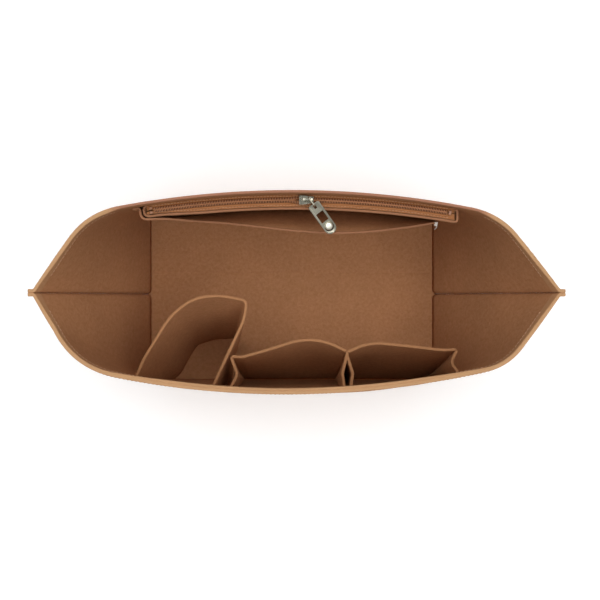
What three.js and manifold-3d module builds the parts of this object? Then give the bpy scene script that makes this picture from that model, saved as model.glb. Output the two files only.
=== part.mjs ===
// A felt insert that divides the inside of a large handbag.
// It stands on its base, front towards -Y, mouth up, millimetres, +Z up.
// The origin is the middle of the overall box, on the surface that the base rests on.
// Felt panels form the tub. Sewn to its inside are a bottle loop, two bellows pockets,
// a slip pocket, and a pocket closed by a coil zip whose slider runs on a gentle arc.

import * as THREE from "three";
import { mergeVertices } from "three/addons/utils/BufferGeometryUtils.js";
import Module from "manifold-3d";

const wasm = await Module();
wasm.setup();

// Felt and seams
const wallFelt = 3;
const pocketFelt = 2.5;
const seatGap = 0.3;
const seamAllowance = 4;
const hemDepth = 8;
const hemFold = 2;
const hemTrace = 0.08;
const hemRunOut = 18;
const footTrace = 0.5;
const edgeSoftness = 0.8;
const leastBend = 1;

// Tub
const baseLength = 280;
const baseHalfDepth = 86;
const baseCornerRadius = 12;
const baseSetLeft = 6;
const wallHeight = 181;
const rimHalfLength = 214.4;
const seamBendRadius = 1.8;

// Places of the rim's corners and of the point that bows each long side, as shares of
// rimHalfLength along the tub and of baseHalfDepth across it. bends gives the radii of the
// left and the right corner as shares of rimHalfLength.
const frontRimShares = {
  left: [-0.84, 0.706],
  bow: [-0.006, 1.123],
  right: [0.793, 0.69],
  bends: [0.364, 0.252],
};
const backRimShares = {
  left: [-0.791, 0.746],
  bow: [-0.001, 1.105],
  right: [0.761, 0.736],
  bends: [0.322, 0.322],
};

// Pockets on the front wall
const pocketFoot = 6;
const pocketFlange = 8;
const pocketBend = 3.4;
const flangeBend = 1;
const nubLength = 3;
const bottleRimShare = 0.69;
const bellowsRimShare = 0.685;

// Zip: its ends, its middle and its slider lie at shares of baseLength, and it stands off
// the back wall by a distance of its own at the ends and at the middle.
const zipEndShares = [-0.427, 0.4446];
const sliderPlaceShare = 0.0254;
const zipDrop = 11;
const zipOffLeft = 4.5;
const zipOffMiddle = 4.1;
const zipOffRight = 4.1;
const coilHalfWidth = 1.9;
const coilHeight = 1.8;
const coilPitch = 2;
const toothWidth = 0.62;
const toothHead = 0.86;
const toothLength = 0.75;
const coilSpine = 0.7;
const openParting = 0.9;
const mouthParting = 1.2;
const mouthTaper = 9;
const tapeThickness = 0.6;
const tapeEdge = 0.35;
const tapeFront = 4;
const tapeFrontLeft = 1.6;
const tapeWidening = 45;
const tapeLeg = 9;
const tapeSteps = 40;
const stopLength = 2.4;
const stopWidth = 2;
const stopRound = 0.5;

// Slider and puller
const sliderLength = 11.6;
const sliderPlate = 0.8;
const sliderFlange = 0.45;
const sliderRoom = 0.25;
const sliderPost = 3;
const postWidth = 0.4;
const soleMargin = 0.4;
const soleChamfer = 1;
const bridgeLength = 9;
const bridgeWidth = 1.8;
const bridgeThickness = 1.2;
const bridgeClear = 2.9;
const bridgeLeg = 1.3;
const bridgeRound = 1.2;
const bridgeAhead = 1.2;
const pivotAhead = 1.5;
const linkWire = 1;
const linkRadius = 2.3;
const linkLength = 5;
const linkSteps = 9;
const wireSides = 8;
const pullHeading = -53;
const linkDroop = 6;
const pullDroop = 22;
const pullWidth = 10;
const pullLength = 30;
const pullThickness = 1.2;
const pullRail = 1.1;
const pullRelief = 0.35;
const pullEyeRim = 1.2;
const eyeLength = 3.4;
const eyeWidth = 2.2;
const windowStart = 9;
const windowLength = 9;
const windowMargin = 0.6;
const pullCornerRadius = 1.6;
const studSetBack = 2;
const studDiameter = 7;
const studHeight = 2;
const studCollar = 0.5;
const shankDiameter = 3;
const shankClearance = 0.2;
const studSides = 24;
const domeSteps = 5;

// Slip pocket and zip pocket
const zipPocketFoot = 12;
const zipPocketFootRoom = 6;
const endRoom = 3.5;
const endFlange = 5;
const panelProud = -0.4;
const panelBow = 60;
const panelBelly = 7;
const slipClearance = 0.5;
const panelStations = 15;
const bellyLean = 1.45;
const slipDrop = 25;
const slipFoot = 9;
const slipRightShare = 0.386;
const slipBelly = 7;
const slipBow = 60;
const slipStations = 11;
const slipTurn = 4;
const slipWrap = 4;

const degree = Math.PI / 180;
const mergeTolerance = 1e-5;

const feltColour = 0x7c4e32;
const pocketColour = 0x8a5a3c;
const tapeColour = 0x8c5230;
const coilColour = 0x6e4028;
const metalColour = 0x8f8f86;

function felt(colour) {
  return new THREE.MeshStandardMaterial({ color: colour, roughness: 0.95, metalness: 0 });
}

function nylon(colour) {
  return new THREE.MeshStandardMaterial({ color: colour, roughness: 0.6, metalness: 0 });
}

function nickel() {
  return new THREE.MeshStandardMaterial({ color: metalColour, roughness: 0.28, metalness: 1 });
}

// Solids from points

function enclosedVolume(points, faces) {
  const normal = new THREE.Vector3();
  let total = 0;
  for (const [a, b, c] of faces) {
    normal.crossVectors(points[b], points[c]);
    total += points[a].dot(normal);
  }
  return total;
}

// Turns every face outwards, whichever way the outline was walked.
function closedSolid(points, faces) {
  const inward = enclosedVolume(points, faces) < 0;
  const order = faces.flatMap(([a, b, c]) => (inward ? [a, c, b] : [a, b, c]));
  const geometry = new THREE.BufferGeometry();
  const places = points.flatMap((point) => point.toArray());
  geometry.setAttribute("position", new THREE.Float32BufferAttribute(places, 3));
  geometry.setIndex(order);
  geometry.computeVertexNormals();
  return geometry;
}

// Joins sections of equal count into one body, and caps both ends.
function loft(sections, isRing = false) {
  const count = sections[0].length;
  const points = sections.flat();
  const faces = [];
  const spans = isRing ? sections.length : sections.length - 1;
  for (let s = 0; s < spans; s += 1) {
    const on = ((s + 1) % sections.length) * count;
    for (let k = 0; k < count; k += 1) {
      const next = (k + 1) % count;
      const a = s * count + k;
      const b = s * count + next;
      faces.push([a, b, on + next], [a, on + next, on + k]);
    }
  }
  if (isRing) {
    return closedSolid(points, faces);
  }
  const last = (sections.length - 1) * count;
  for (const [a, b, c] of capFaces(sections[0])) {
    faces.push([c, b, a]);
  }
  for (const [a, b, c] of capFaces(sections.at(-1))) {
    faces.push([last + a, last + b, last + c]);
  }
  return closedSolid(points, faces);
}

// Triangulates one section in its own plane.
function capFaces(section) {
  const normal = new THREE.Vector3();
  section.forEach((point, k) => {
    const next = section[(k + 1) % section.length];
    normal.add(new THREE.Vector3().crossVectors(point, next));
  });
  normal.normalize();
  const across = section[1].clone().sub(section[0]).normalize();
  const up = new THREE.Vector3().crossVectors(normal, across);
  const flat = section.map((point) => new THREE.Vector2(point.dot(across), point.dot(up)));
  return THREE.ShapeUtils.triangulateShape(flat, []);
}

// Gives one face of a sheet its thickness. rows runs bottom to top.
function sheet(rows, thickness, side) {
  const levels = rows.length;
  const count = rows[0].length;
  const near = [];
  const far = [];
  for (let j = 0; j < levels; j += 1) {
    for (let i = 0; i < count; i += 1) {
      const along = rows[j][Math.min(i + 1, count - 1)].clone().sub(rows[j][Math.max(i - 1, 0)]);
      const up = rows[Math.min(j + 1, levels - 1)][i].clone().sub(rows[Math.max(j - 1, 0)][i]);
      const normal = new THREE.Vector3().crossVectors(along, up).normalize();
      near.push(rows[j][i]);
      far.push(rows[j][i].clone().addScaledVector(normal, thickness * side));
    }
  }
  const back = levels * count;
  const faces = [];
  const quad = (a, b, c, d) => faces.push([a, b, c], [a, c, d]);
  for (let j = 0; j + 1 < levels; j += 1) {
    for (let i = 0; i + 1 < count; i += 1) {
      const a = j * count + i;
      quad(a, a + 1, a + 1 + count, a + count);
      quad(back + a, back + a + count, back + a + 1 + count, back + a + 1);
    }
  }
  for (let i = 0; i + 1 < count; i += 1) {
    const top = (levels - 1) * count + i;
    quad(i + 1, i, back + i, back + i + 1);
    quad(top, top + 1, back + top + 1, back + top);
  }
  for (let j = 0; j + 1 < levels; j += 1) {
    const left = j * count;
    const right = left + count - 1;
    quad(left, left + count, back + left + count, back + left);
    quad(right + count, right, back + right, back + right + count);
  }
  return closedSolid([...near, ...far], faces);
}

// Plan lines

// Walks a line through corners, each rounded by its radius, or bowed along all that is
// left of its two sides. steps gives the pieces of each side and bend in turn. A corner
// that hardly turns keeps a short bend, so that no piece of the line has zero length.
function roundedLine(corners, steps) {
  const bends = [];
  for (let k = 1; k + 1 < corners.length; k += 1) {
    const here = corners[k];
    const back = corners[k - 1].at.clone().sub(here.at);
    const on = corners[k + 1].at.clone().sub(here.at);
    const turn = Math.PI - Math.acos(back.dot(on) / (back.length() * on.length()));
    const cut = here.bow ? 0 : Math.max(here.radius * Math.tan(turn / 2), leastBend);
    bends.push({ at: here.at, back, on, cut, bow: here.bow });
  }
  bends.forEach((bend, k) => {
    const before = bend.bow ? bend.back.length() - bends[k - 1].cut : bend.cut;
    const after = bend.bow ? bend.on.length() - bends[k + 1].cut : bend.cut;
    bend.start = bend.at.clone().addScaledVector(bend.back.normalize(), before);
    bend.end = bend.at.clone().addScaledVector(bend.on.normalize(), after);
  });
  const line = [];
  const add = (curve, count) => {
    for (let k = 0; k < count; k += 1) {
      const share = k / count;
      line.push({ at: curve.getPoint(share), way: curve.getTangent(share) });
    }
  };
  let from = corners[0].at;
  let step = 0;
  for (const bend of bends) {
    if (!bend.bow && steps[step] > 0) {
      add(new THREE.LineCurve(from, bend.start), steps[step]);
    }
    add(new THREE.QuadraticBezierCurve(bend.start, bend.at, bend.end), steps[step + 1]);
    from = bend.end;
    step += 2;
  }
  const close = new THREE.LineCurve(from, corners.at(-1).at);
  add(close, steps[step]);
  line.push({ at: close.getPoint(1), way: close.getTangent(1) });
  return line;
}

function corner(x, y, radius = 0) {
  return { at: new THREE.Vector2(x, y), radius, bow: false };
}

function bowed(x, y) {
  return { at: new THREE.Vector2(x, y), radius: 0, bow: true };
}

function mix(a, b, share) {
  return a + (b - a) * share;
}

function ramp(share) {
  const held = THREE.MathUtils.clamp(share, 0, 1);
  return held * held * (3 - 2 * held);
}

// Tub walls

const floorTop = wallFelt;
const wallFoot = floorTop + seatGap;
const seamPlane = wallFelt + seatGap / 2;
const baseLeft = -baseLength / 2 - baseSetLeft;
const baseRight = baseLength / 2 - baseSetLeft;
const wallSteps = [1, 4, 6, 7, 0, 22, 0, 7, 6, 4, 1];

// A wall is kept as pairs of foot and rim points of its outer face. Depth is measured
// from the middle plane, so that the front and the back wall share one description.
function wall(rimShares, side) {
  const allowanceEnd = rimHalfLength + seamAllowance;
  const foot = roundedLine([
    corner(baseLeft - seamAllowance, seamPlane),
    corner(baseLeft, seamPlane, seamBendRadius),
    corner(baseLeft, baseHalfDepth, baseCornerRadius),
    bowed(-baseSetLeft, baseHalfDepth),
    corner(baseRight, baseHalfDepth, baseCornerRadius),
    corner(baseRight, seamPlane, seamBendRadius),
    corner(baseRight + seamAllowance, seamPlane),
  ], wallSteps);
  const rimPlace = ([x, depth]) => [x * rimHalfLength, depth * baseHalfDepth];
  const [leftBend, rightBend] = rimShares.bends.map((share) => share * rimHalfLength);
  const rim = roundedLine([
    corner(-allowanceEnd, seamPlane),
    corner(-rimHalfLength, seamPlane, seamBendRadius),
    corner(...rimPlace(rimShares.left), leftBend),
    bowed(...rimPlace(rimShares.bow)),
    corner(...rimPlace(rimShares.right), rightBend),
    corner(rimHalfLength, seamPlane, seamBendRadius),
    corner(allowanceEnd, seamPlane),
  ], wallSteps);
  const stations = foot.map((low, k) => {
    const high = rim[k];
    const lean = low.at.distanceTo(high.at);
    const top = wallFoot + Math.sqrt(wallHeight * wallHeight - lean * lean);
    const bottom = new THREE.Vector3(low.at.x, low.at.y, wallFoot);
    const summit = new THREE.Vector3(high.at.x, high.at.y, top);
    const rise = summit.clone().sub(bottom).normalize();
    const way = new THREE.Vector3(high.way.x, high.way.y, 0);
    const inward = new THREE.Vector3().crossVectors(way, rise).normalize();
    const inwardFoot = new THREE.Vector3(low.way.y, -low.way.x, 0).normalize();
    return { bottom, summit, inward, inwardFoot };
  });
  return { side, stations };
}

// A point of a wall at a share of its height and a depth into the tub.
function wallPoint(station, share, depth) {
  const start = station.bottom.clone().addScaledVector(station.inwardFoot, depth);
  const end = station.summit.clone().addScaledVector(station.inward, depth);
  return start.lerp(end, share);
}

// How far along the gusset a station lies from its seam, as a share of the run-out.
function fromSeam(place) {
  return ramp((place - seamPlane - wallFelt) / hemRunOut);
}

function wallSolid(tub, hemAt) {
  const hemLine = 1 - hemDepth / wallHeight;
  const softLine = 1 - edgeSoftness / wallHeight;
  const footLine = wallFelt / wallHeight;
  const middle = 0.5;
  const sections = tub.stations.map((station) => {
    const spread = mix(footTrace, seamAllowance, fromSeam(station.bottom.y));
    const fold = mix(hemTrace, hemFold, fromSeam(station.summit.y) * hemAt(station.summit.x));
    const outline = [
      [0, wallFelt],
      [0, -spread],
      [footLine, -spread],
      [footLine * 2, 0],
      [middle, 0],
      [hemLine, 0],
      [softLine, 0],
      [1, edgeSoftness],
      [1, wallFelt + fold - edgeSoftness / 2],
      [softLine, wallFelt + fold],
      [hemLine, wallFelt + fold],
      [hemLine + (softLine - 1) / 2, wallFelt],
      [middle, wallFelt],
    ];
    return outline.map(([share, depth]) => facing(wallPoint(station, share, depth), tub.side));
  });
  return loft(sections);
}

// Turns depth from the middle plane into a place in the part's frame.
function facing(point, side) {
  return new THREE.Vector3(point.x, point.y * side, point.z);
}

// The inner face of a wall at a height, as depth from the middle plane.
function wallFace(tub, x, height) {
  const line = tub.stations.map((station) => {
    const share = (height - wallFoot) / (station.summit.z - wallFoot);
    return wallPoint(station, share, wallFelt);
  });
  const k = line.findIndex((point, i) => i > 0 && point.x >= x && line[i - 1].x <= x
    && point.y > seamPlane + wallFelt);
  const before = line[k - 1];
  const after = line[k];
  return mix(before.y, after.y, (x - before.x) / (after.x - before.x));
}

const frontWall = wall(frontRimShares, -1);
const backWall = wall(backRimShares, 1);

function fullHem() {
  return 1;
}

// The zip is sewn where the back wall's hem would be, so the hem stops short of it.
function hemBesideZip(x) {
  const past = Math.max(zipLeftX - hemRunOut - x, x - zipRightX - hemRunOut, 0);
  return ramp(past / hemRunOut);
}

function basePanel() {
  const left = baseLeft - seamAllowance;
  const right = baseRight + seamAllowance;
  const depth = baseHalfDepth + seamAllowance;
  const radius = baseCornerRadius + seamAllowance;
  const outline = new THREE.Shape();
  outline.moveTo(left + radius, -depth);
  outline.lineTo(right - radius, -depth);
  outline.quadraticCurveTo(right, -depth, right, -depth + radius);
  outline.lineTo(right, depth - radius);
  outline.quadraticCurveTo(right, depth, right - radius, depth);
  outline.lineTo(left + radius, depth);
  outline.quadraticCurveTo(left, depth, left, depth - radius);
  outline.lineTo(left, -depth + radius);
  outline.quadraticCurveTo(left, -depth, left + radius, -depth);
  return new THREE.ExtrudeGeometry(outline, {
    depth: wallFelt,
    bevelEnabled: false,
    curveSegments: 8,
  });
}

// Pockets

const pocketLevels = [0, 0.3, 0.65, 1];
const pocketBottom = floorTop + pocketFoot;

// Builds a sewn-on pocket wall from the plan line that it follows at each height.
function pocketWall(top, lineAt, steps, side, bottom = pocketBottom, levels = pocketLevels) {
  const rows = levels.map((share) => {
    const height = mix(bottom, top, share);
    const line = roundedLine(lineAt(share, height), steps);
    return line.map(({ at }) => new THREE.Vector3(at.x, at.y, height));
  });
  return sheet(rows, pocketFelt, side);
}

// The front wall's inner face, less the seat's gap, as a place along Y.
function onFrontWall(x, height) {
  return -wallFace(frontWall, x, height) + seatGap;
}

function onBackWall(x, height) {
  return wallFace(backWall, x, height) - seatGap;
}

// Every place of the front pockets is a share of baseLength along the tub, and of
// baseHalfDepth across it.
function planPlace([x, y]) {
  return new THREE.Vector2(x * baseLength, y * baseHalfDepth);
}

function between(footShares, rimShares, share) {
  return planPlace(footShares).lerp(planPlace(rimShares), share);
}

// Bottle loop, from its left seam round to its right one. The radii of its bends are
// shares of baseLength too.
const bottleSeamShares = { left: { foot: -0.418, rim: -0.489 }, right: { foot: -0.229, rim: -0.254 } };
const bottleRimShares = [[-0.432, -0.442], [-0.318, -0.006], [-0.214, -0.017], [-0.15, -0.087],
  [-0.164, -0.314]];
const bottleFootShares = [[-0.393, -0.744], [-0.35, -0.535], [-0.257, -0.477], [-0.214, -0.488],
  [-0.218, -0.721]];
const bottleBendShares = [0.214, 0.121, 0.143, 0.016, 0.121];
const bottleFootBendShare = 0.35;
const bottleRim = bottleRimShare * wallHeight;

function bottleLine(share, height) {
  const seam = (side) => mix(side.foot, side.rim, share) * baseLength;
  const left = seam(bottleSeamShares.left);
  const right = seam(bottleSeamShares.right);
  const bends = bottleRimShares.map((place, k) => {
    const at = between(bottleFootShares[k], place, share);
    const bend = bottleBendShares[k] * baseLength * mix(bottleFootBendShare, 1, share);
    return corner(at.x, at.y, Math.max(bend, pocketBend));
  });
  return [
    corner(left + pocketFlange, onFrontWall(left + pocketFlange, height)),
    corner(left, onFrontWall(left, height), pocketBend),
    ...bends,
    corner(right, onFrontWall(right, height), pocketBend),
    corner(right - pocketFlange, onFrontWall(right - pocketFlange, height)),
  ];
}

function bottlePocket() {
  const steps = [1, 4, 2, 3, 2, 4, 2, 4, 2, 4, 2, 3, 2, 4, 1];
  return pocketWall(bottleRim, bottleLine, steps, 1);
}

// Bellows pockets: the face from nub to nub, and the side gussets behind it. bends gives
// the radii of the face's two corners as shares of baseLength.
const faceShares = {
  a: {
    rim: [[-0.202, -0.605], [-0.043, -0.424], [0.086, -0.436], [0.15, -0.576]],
    foot: [[-0.196, -0.81], [-0.04, -0.81], [0.08, -0.81], [0.146, -0.81]],
    bends: [0.286, 0.143],
  },
  b: {
    rim: [[0.1555, -0.558], [0.221, -0.471], [0.339, -0.488], [0.484, -0.529]],
    foot: [[0.154, -0.81], [0.22, -0.81], [0.33, -0.81], [0.42, -0.81]],
    bends: [0.143, 0.286],
  },
};

const bellowsRim = bellowsRimShare * wallHeight;

// Each gusset's fold and its seam on the front wall
const gussetShares = {
  a_left: { fold: [-0.1815, -0.8], footFold: [-0.18, -0.89], seam: -0.2, footSeam: -0.186 },
  a_right: { fold: [0.131, -0.78], footFold: [0.13, -0.89], seam: 0.1365, footSeam: 0.136 },
  b_left: { fold: [0.1735, -0.79], footFold: [0.17, -0.89], seam: 0.164, footSeam: 0.164 },
  b_right: { fold: [0.464, -0.695], footFold: [0.404, -0.89], seam: 0.484, footSeam: 0.411 },
};

function faceLine(pocket, share) {
  const places = pocket.rim.map((rim, k) => between(pocket.foot[k], rim, share));
  return [
    corner(places[0].x, places[0].y),
    corner(places[1].x, places[1].y, pocket.bends[0] * baseLength),
    corner(places[2].x, places[2].y, pocket.bends[1] * baseLength),
    corner(places[3].x, places[3].y),
  ];
}

function pocketFace(name) {
  const line = (share) => faceLine(faceShares[name], share);
  return pocketWall(bellowsRim, line, [6, 8, 4, 8, 6], 1);
}

// hand is 1 where the pocket lies to the right of this gusset, and -1 to its left.
function gussetLine(name, hand, share, height) {
  const ends = faceLine(faceShares[name], share);
  const end = hand > 0 ? ends[0].at : ends[3].at;
  const next = hand > 0 ? ends[1].at : ends[2].at;
  const slope = (next.y - end.y) / (next.x - end.x);
  const behind = (pocketFelt + seatGap) * Math.hypot(1, slope);
  const side = gussetShares[`${name}_${hand > 0 ? "left" : "right"}`];
  const fold = between(side.footFold, side.fold, share);
  const seam = mix(side.footSeam, side.seam, share) * baseLength;
  const flange = seam + hand * pocketFlange;
  const turn = nubLength + pocketBend / 2;
  return [
    corner(end.x, end.y - behind),
    corner(end.x + hand * turn, end.y - behind + slope * hand * turn, pocketBend),
    corner(fold.x, fold.y, pocketBend),
    corner(seam, onFrontWall(seam, height) + pocketFelt, flangeBend),
    corner(flange, onFrontWall(flange, height) + pocketFelt),
  ];
}

function pocketGusset(name, hand) {
  const line = (share, height) => gussetLine(name, hand, share, height);
  return pocketWall(bellowsRim, line, [1, 4, 3, 3, 3, 4, 2], hand);
}

// Zip line: the circle through three points that stand off the back wall. Angles are
// measured at its centre, from straight back.

const zipHeight = wallHeight - zipDrop;
const [zipLeftX, zipRightX] = zipEndShares.map((share) => share * baseLength);
const sliderX = sliderPlaceShare * baseLength;

function circleThrough(a, b, c) {
  const ab = b.clone().sub(a);
  const ac = c.clone().sub(a);
  const twice = 2 * ab.cross(ac);
  const x = (ac.y * ab.lengthSq() - ab.y * ac.lengthSq()) / twice;
  const y = (ab.x * ac.lengthSq() - ac.x * ab.lengthSq()) / twice;
  return { centre: new THREE.Vector2(a.x + x, a.y + y), radius: Math.hypot(x, y) };
}

function zipPoint(x, off) {
  return new THREE.Vector2(x, wallFace(backWall, x, zipHeight) - off);
}

const zipCircle = circleThrough(
  zipPoint(zipLeftX, zipOffLeft),
  zipPoint(mix(zipLeftX, zipRightX, 1 / 2), zipOffMiddle),
  zipPoint(zipRightX, zipOffRight),
);
const zipRadius = zipCircle.radius;
const zipCentreX = zipCircle.centre.x;
const sliderAngle = angleAt(sliderX);

function zipPlace(angle, aside, height) {
  const radius = zipRadius + aside;
  return new THREE.Vector3(
    zipCentreX + radius * Math.sin(angle),
    zipCircle.centre.y + radius * Math.cos(angle),
    height,
  );
}

function angleAt(x) {
  return Math.asin((x - zipCentreX) / zipRadius);
}

// Width of the tape that shows between the coil and the pocket's panel
function tapeShown(x) {
  return mix(tapeFrontLeft, tapeFront, ramp((x - zipLeftX) / tapeWidening));
}

// How far the panel's outer face stands in front of the zip line at its rim
function panelAside(x) {
  return coilHalfWidth + tapeShown(x) + pocketFelt;
}

const zipPanelTop = zipHeight + panelProud;
const zipPanelBottom = floorTop + zipPocketFoot;
const panelEdge = pocketFelt + endRoom;
const panelLeftX = zipLeftX - panelEdge;
const panelRightX = zipRightX + panelEdge;
const slipClear = pocketFelt + slipClearance;
const slipRoundX = panelLeftX - slipClear;
const slipRightX = slipRightShare * baseLength;
const slipEndX = slipRightX + pocketFlange;
const slipRim = zipHeight - slipDrop;

// Both panels hang fullest right of the middle.
function lens(x) {
  const along = Math.min(Math.max((x - slipRoundX) / (slipEndX - slipRoundX), 0), 1);
  return Math.sin(Math.PI * along ** bellyLean);
}

// The panel's front face, which hangs forward and is fullest behind the slip pocket's rim
function panelFront(x, height) {
  const rise = height - zipPanelBottom;
  const rim = zipPlace(angleAt(x), -panelAside(x), height).y;
  const foot = onBackWall(x, height) - zipPocketFootRoom - pocketFelt;
  const full = Math.min(rise / (slipRim - zipPanelBottom), (zipPanelTop - height) / (zipPanelTop - slipRim));
  return mix(foot, rim, rise / (zipPanelTop - zipPanelBottom)) - lens(x) * full * panelBelly;
}

// The zip pocket's panel, seen from its front face
function zipPanelLine(share, height) {
  const frontAt = (x) => panelFront(x, height);
  const corners = Array.from({ length: panelStations }, (_, k) => {
    const x = mix(panelLeftX, panelRightX, (k + 1) / (panelStations + 1));
    return corner(x, frontAt(x), panelBow);
  });
  return [
    corner(panelLeftX + endFlange, onBackWall(panelLeftX + endFlange, height)),
    corner(panelLeftX, onBackWall(panelLeftX, height), pocketBend),
    corner(panelLeftX, frontAt(panelLeftX), pocketBend),
    ...corners,
    corner(panelRightX, frontAt(panelRightX), pocketBend),
    corner(panelRightX, onBackWall(panelRightX, height), pocketBend),
    corner(panelRightX - endFlange, onBackWall(panelRightX - endFlange, height)),
  ];
}

function zipPocketPanel() {
  const front = Array.from({ length: panelStations * 2 }, () => 1);
  const steps = [1, 4, 1, 4, ...front, 1, 4, 1, 4, 1];
  const full = (slipRim - zipPanelBottom) / (zipPanelTop - zipPanelBottom);
  const levels = [0, full / 2, full, 1];
  return pocketWall(zipPanelTop, zipPanelLine, steps, -1, zipPanelBottom, levels);
}

// The slip pocket wraps round the left end of the zip pocket, and ends on its panel.
function slipLine(share, height) {
  const seam = slipRoundX - slipWrap;
  const flange = seam - endFlange;
  const forward = (x) => panelFront(x, height) - slipClear;
  const belly = Array.from({ length: slipStations }, (_, k) => {
    const x = mix(slipRoundX, slipRightX, (k + 1) / (slipStations + 1));
    return corner(x, forward(x) - lens(x) * slipBelly * share, slipBow);
  });
  return [
    corner(flange, onBackWall(flange, height) - slipClear),
    corner(seam, onBackWall(seam, height) - slipClear, flangeBend),
    corner(slipRoundX, forward(slipRoundX), slipTurn),
    ...belly,
    corner(slipRightX, forward(slipRightX), slipTurn),
    corner(slipEndX, forward(slipEndX)),
  ];
}

function slipPocketPanel() {
  const front = Array.from({ length: slipStations * 2 }, () => 1);
  const steps = [1, 3, 1, 4, ...front, 1, 3, 1];
  return pocketWall(slipRim, slipLine, steps, -1, floorTop + slipFoot);
}

// Zip chain: how far each row is parted from the closed chain at a place along X

function rowParting(x) {
  const mouth = sliderX - sliderLength / 2;
  const throat = sliderX - sliderLength / 2 + sliderPost;
  if (x > throat) {
    return mouthParting * (1 - ramp((x - throat) / (sliderLength - sliderPost - sliderRoom)));
  }
  return mix(openParting, mouthParting, ramp(1 - (mouth - x) / mouthTaper));
}

const coilBottom = zipHeight + tapeThickness / 2 + seatGap;
const chainLeftX = zipLeftX + stopLength + seatGap;
const chainRightX = zipRightX - stopLength - seatGap;

// One row of teeth on its spine. hand is 1 for the back row, and -1 for the front one.
function zipCoil(hand) {
  const count = Math.floor((chainRightX - chainLeftX) / coilPitch) - 1;
  const first = chainLeftX + (hand > 0 ? coilPitch / 2 : coilPitch);
  const at = (x, aside) => {
    const place = zipPlace(angleAt(x), hand * (aside + rowParting(x)), 0);
    return new THREE.Vector2(place.x, place.y);
  };
  const root = coilHalfWidth - coilSpine;
  const teeth = [at(chainLeftX, coilHalfWidth), at(chainLeftX, root)];
  const back = [];
  for (let k = 0; k < count; k += 1) {
    const x = first + k * coilPitch;
    teeth.push(at(x - toothWidth / 2, root));
    teeth.push(at(x - toothHead / 2, -toothLength));
    teeth.push(at(x + toothHead / 2, -toothLength));
    teeth.push(at(x + toothWidth / 2, root));
    if (k % 3 === 0) {
      back.push(at(x, coilHalfWidth));
    }
  }
  teeth.push(at(chainRightX, root), at(chainRightX, coilHalfWidth));
  const outline = new THREE.Shape([...teeth, ...back.reverse()]);
  const row = new THREE.ExtrudeGeometry(outline, { depth: coilHeight, bevelEnabled: false });
  return row.translate(0, 0, coilBottom);
}

// A tape's section is an angle: flat beside its coil, then sewn down its felt.
function zipTape(hand) {
  const sections = [];
  const top = zipHeight + tapeThickness / 2;
  const under = zipHeight - tapeThickness / 2;
  const low = zipHeight - tapeLeg;
  const feltAt = (x, height) => (hand > 0
    ? onBackWall(x, height)
    : panelFront(x, height) + pocketFelt + seatGap);
  for (let k = 0; k <= tapeSteps; k += 1) {
    const x = mix(zipLeftX, zipRightX, k / tapeSteps);
    const edge = zipPlace(angleAt(x), 0, 0).y + hand * (tapeEdge + rowParting(x));
    const outline = [
      [edge, top],
      [feltAt(x, top), top],
      [feltAt(x, low), low],
      [feltAt(x, low) - hand * tapeThickness, low],
      [feltAt(x, under) - hand * tapeThickness, under],
      [edge, under],
    ];
    sections.push(outline.map(([y, z]) => new THREE.Vector3(x, y, z)));
  }
  return loft(sections);
}

// Stops end the chain: one across both rows at the right, one on each row at the left.
function zipStop(x, aside, width) {
  const place = zipPlace(angleAt(x), aside, coilBottom);
  const block = new THREE.Shape();
  const round = stopRound;
  const halfX = stopLength / 2;
  const halfY = width / 2;
  block.moveTo(-halfX + round, -halfY);
  block.lineTo(halfX - round, -halfY);
  block.quadraticCurveTo(halfX, -halfY, halfX, -halfY + round);
  block.lineTo(halfX, halfY - round);
  block.quadraticCurveTo(halfX, halfY, halfX - round, halfY);
  block.lineTo(-halfX + round, halfY);
  block.quadraticCurveTo(-halfX, halfY, -halfX, halfY - round);
  block.lineTo(-halfX, -halfY + round);
  block.quadraticCurveTo(-halfX, -halfY, -halfX + round, -halfY);
  const geometry = new THREE.ExtrudeGeometry(block, {
    depth: coilHeight - stopRound,
    bevelThickness: stopRound / 2,
    bevelSize: stopRound / 2,
    bevelOffset: -stopRound / 2,
    bevelSegments: 1,
    curveSegments: 3,
  });
  geometry.translate(0, 0, stopRound / 2);
  geometry.rotateZ(-angleAt(x));
  return geometry.translate(place.x, place.y, place.z);
}

// Slider

function toManifold(geometry) {
  const bare = new THREE.BufferGeometry();
  bare.setAttribute("position", geometry.getAttribute("position"));
  bare.setIndex(geometry.getIndex());
  const merged = mergeVertices(bare, mergeTolerance);
  return new wasm.Manifold(new wasm.Mesh({
    numProp: 3,
    vertProperties: new Float32Array(merged.getAttribute("position").array),
    triVerts: new Uint32Array(merged.getIndex().array),
  }));
}

function toGeometry(manifold) {
  const mesh = manifold.getMesh();
  const geometry = new THREE.BufferGeometry();
  geometry.setAttribute("position", new THREE.BufferAttribute(mesh.vertProperties, 3));
  geometry.setIndex(new THREE.BufferAttribute(mesh.triVerts, 1));
  geometry.computeVertexNormals();
  return geometry;
}

function slab(points, bottom, top) {
  const shape = new THREE.Shape(points.map(([x, y]) => new THREE.Vector2(x, y)));
  const geometry = new THREE.ExtrudeGeometry(shape, { depth: top - bottom, bevelEnabled: false });
  return geometry.translate(0, 0, bottom);
}

const sliderCeiling = coilBottom + coilHeight + sliderRoom;
const sliderTop = sliderCeiling + sliderPlate;
const sliderFloor = zipHeight - tapeThickness / 2 - sliderRoom;
const sliderShares = [-0.5, -0.36, -0.2, -0.08, 0.04, 0.18, 0.34, 0.5];

// The inner line of a flange clears the parted row all the way through the slider.
function flangeLine(extra) {
  return sliderShares.map((share) => {
    const x = share * sliderLength;
    return [x, coilHalfWidth + rowParting(sliderX + x) + sliderRoom + extra];
  });
}

function mirrored(line) {
  return line.map(([x, y]) => [x, -y]).reverse();
}

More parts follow.
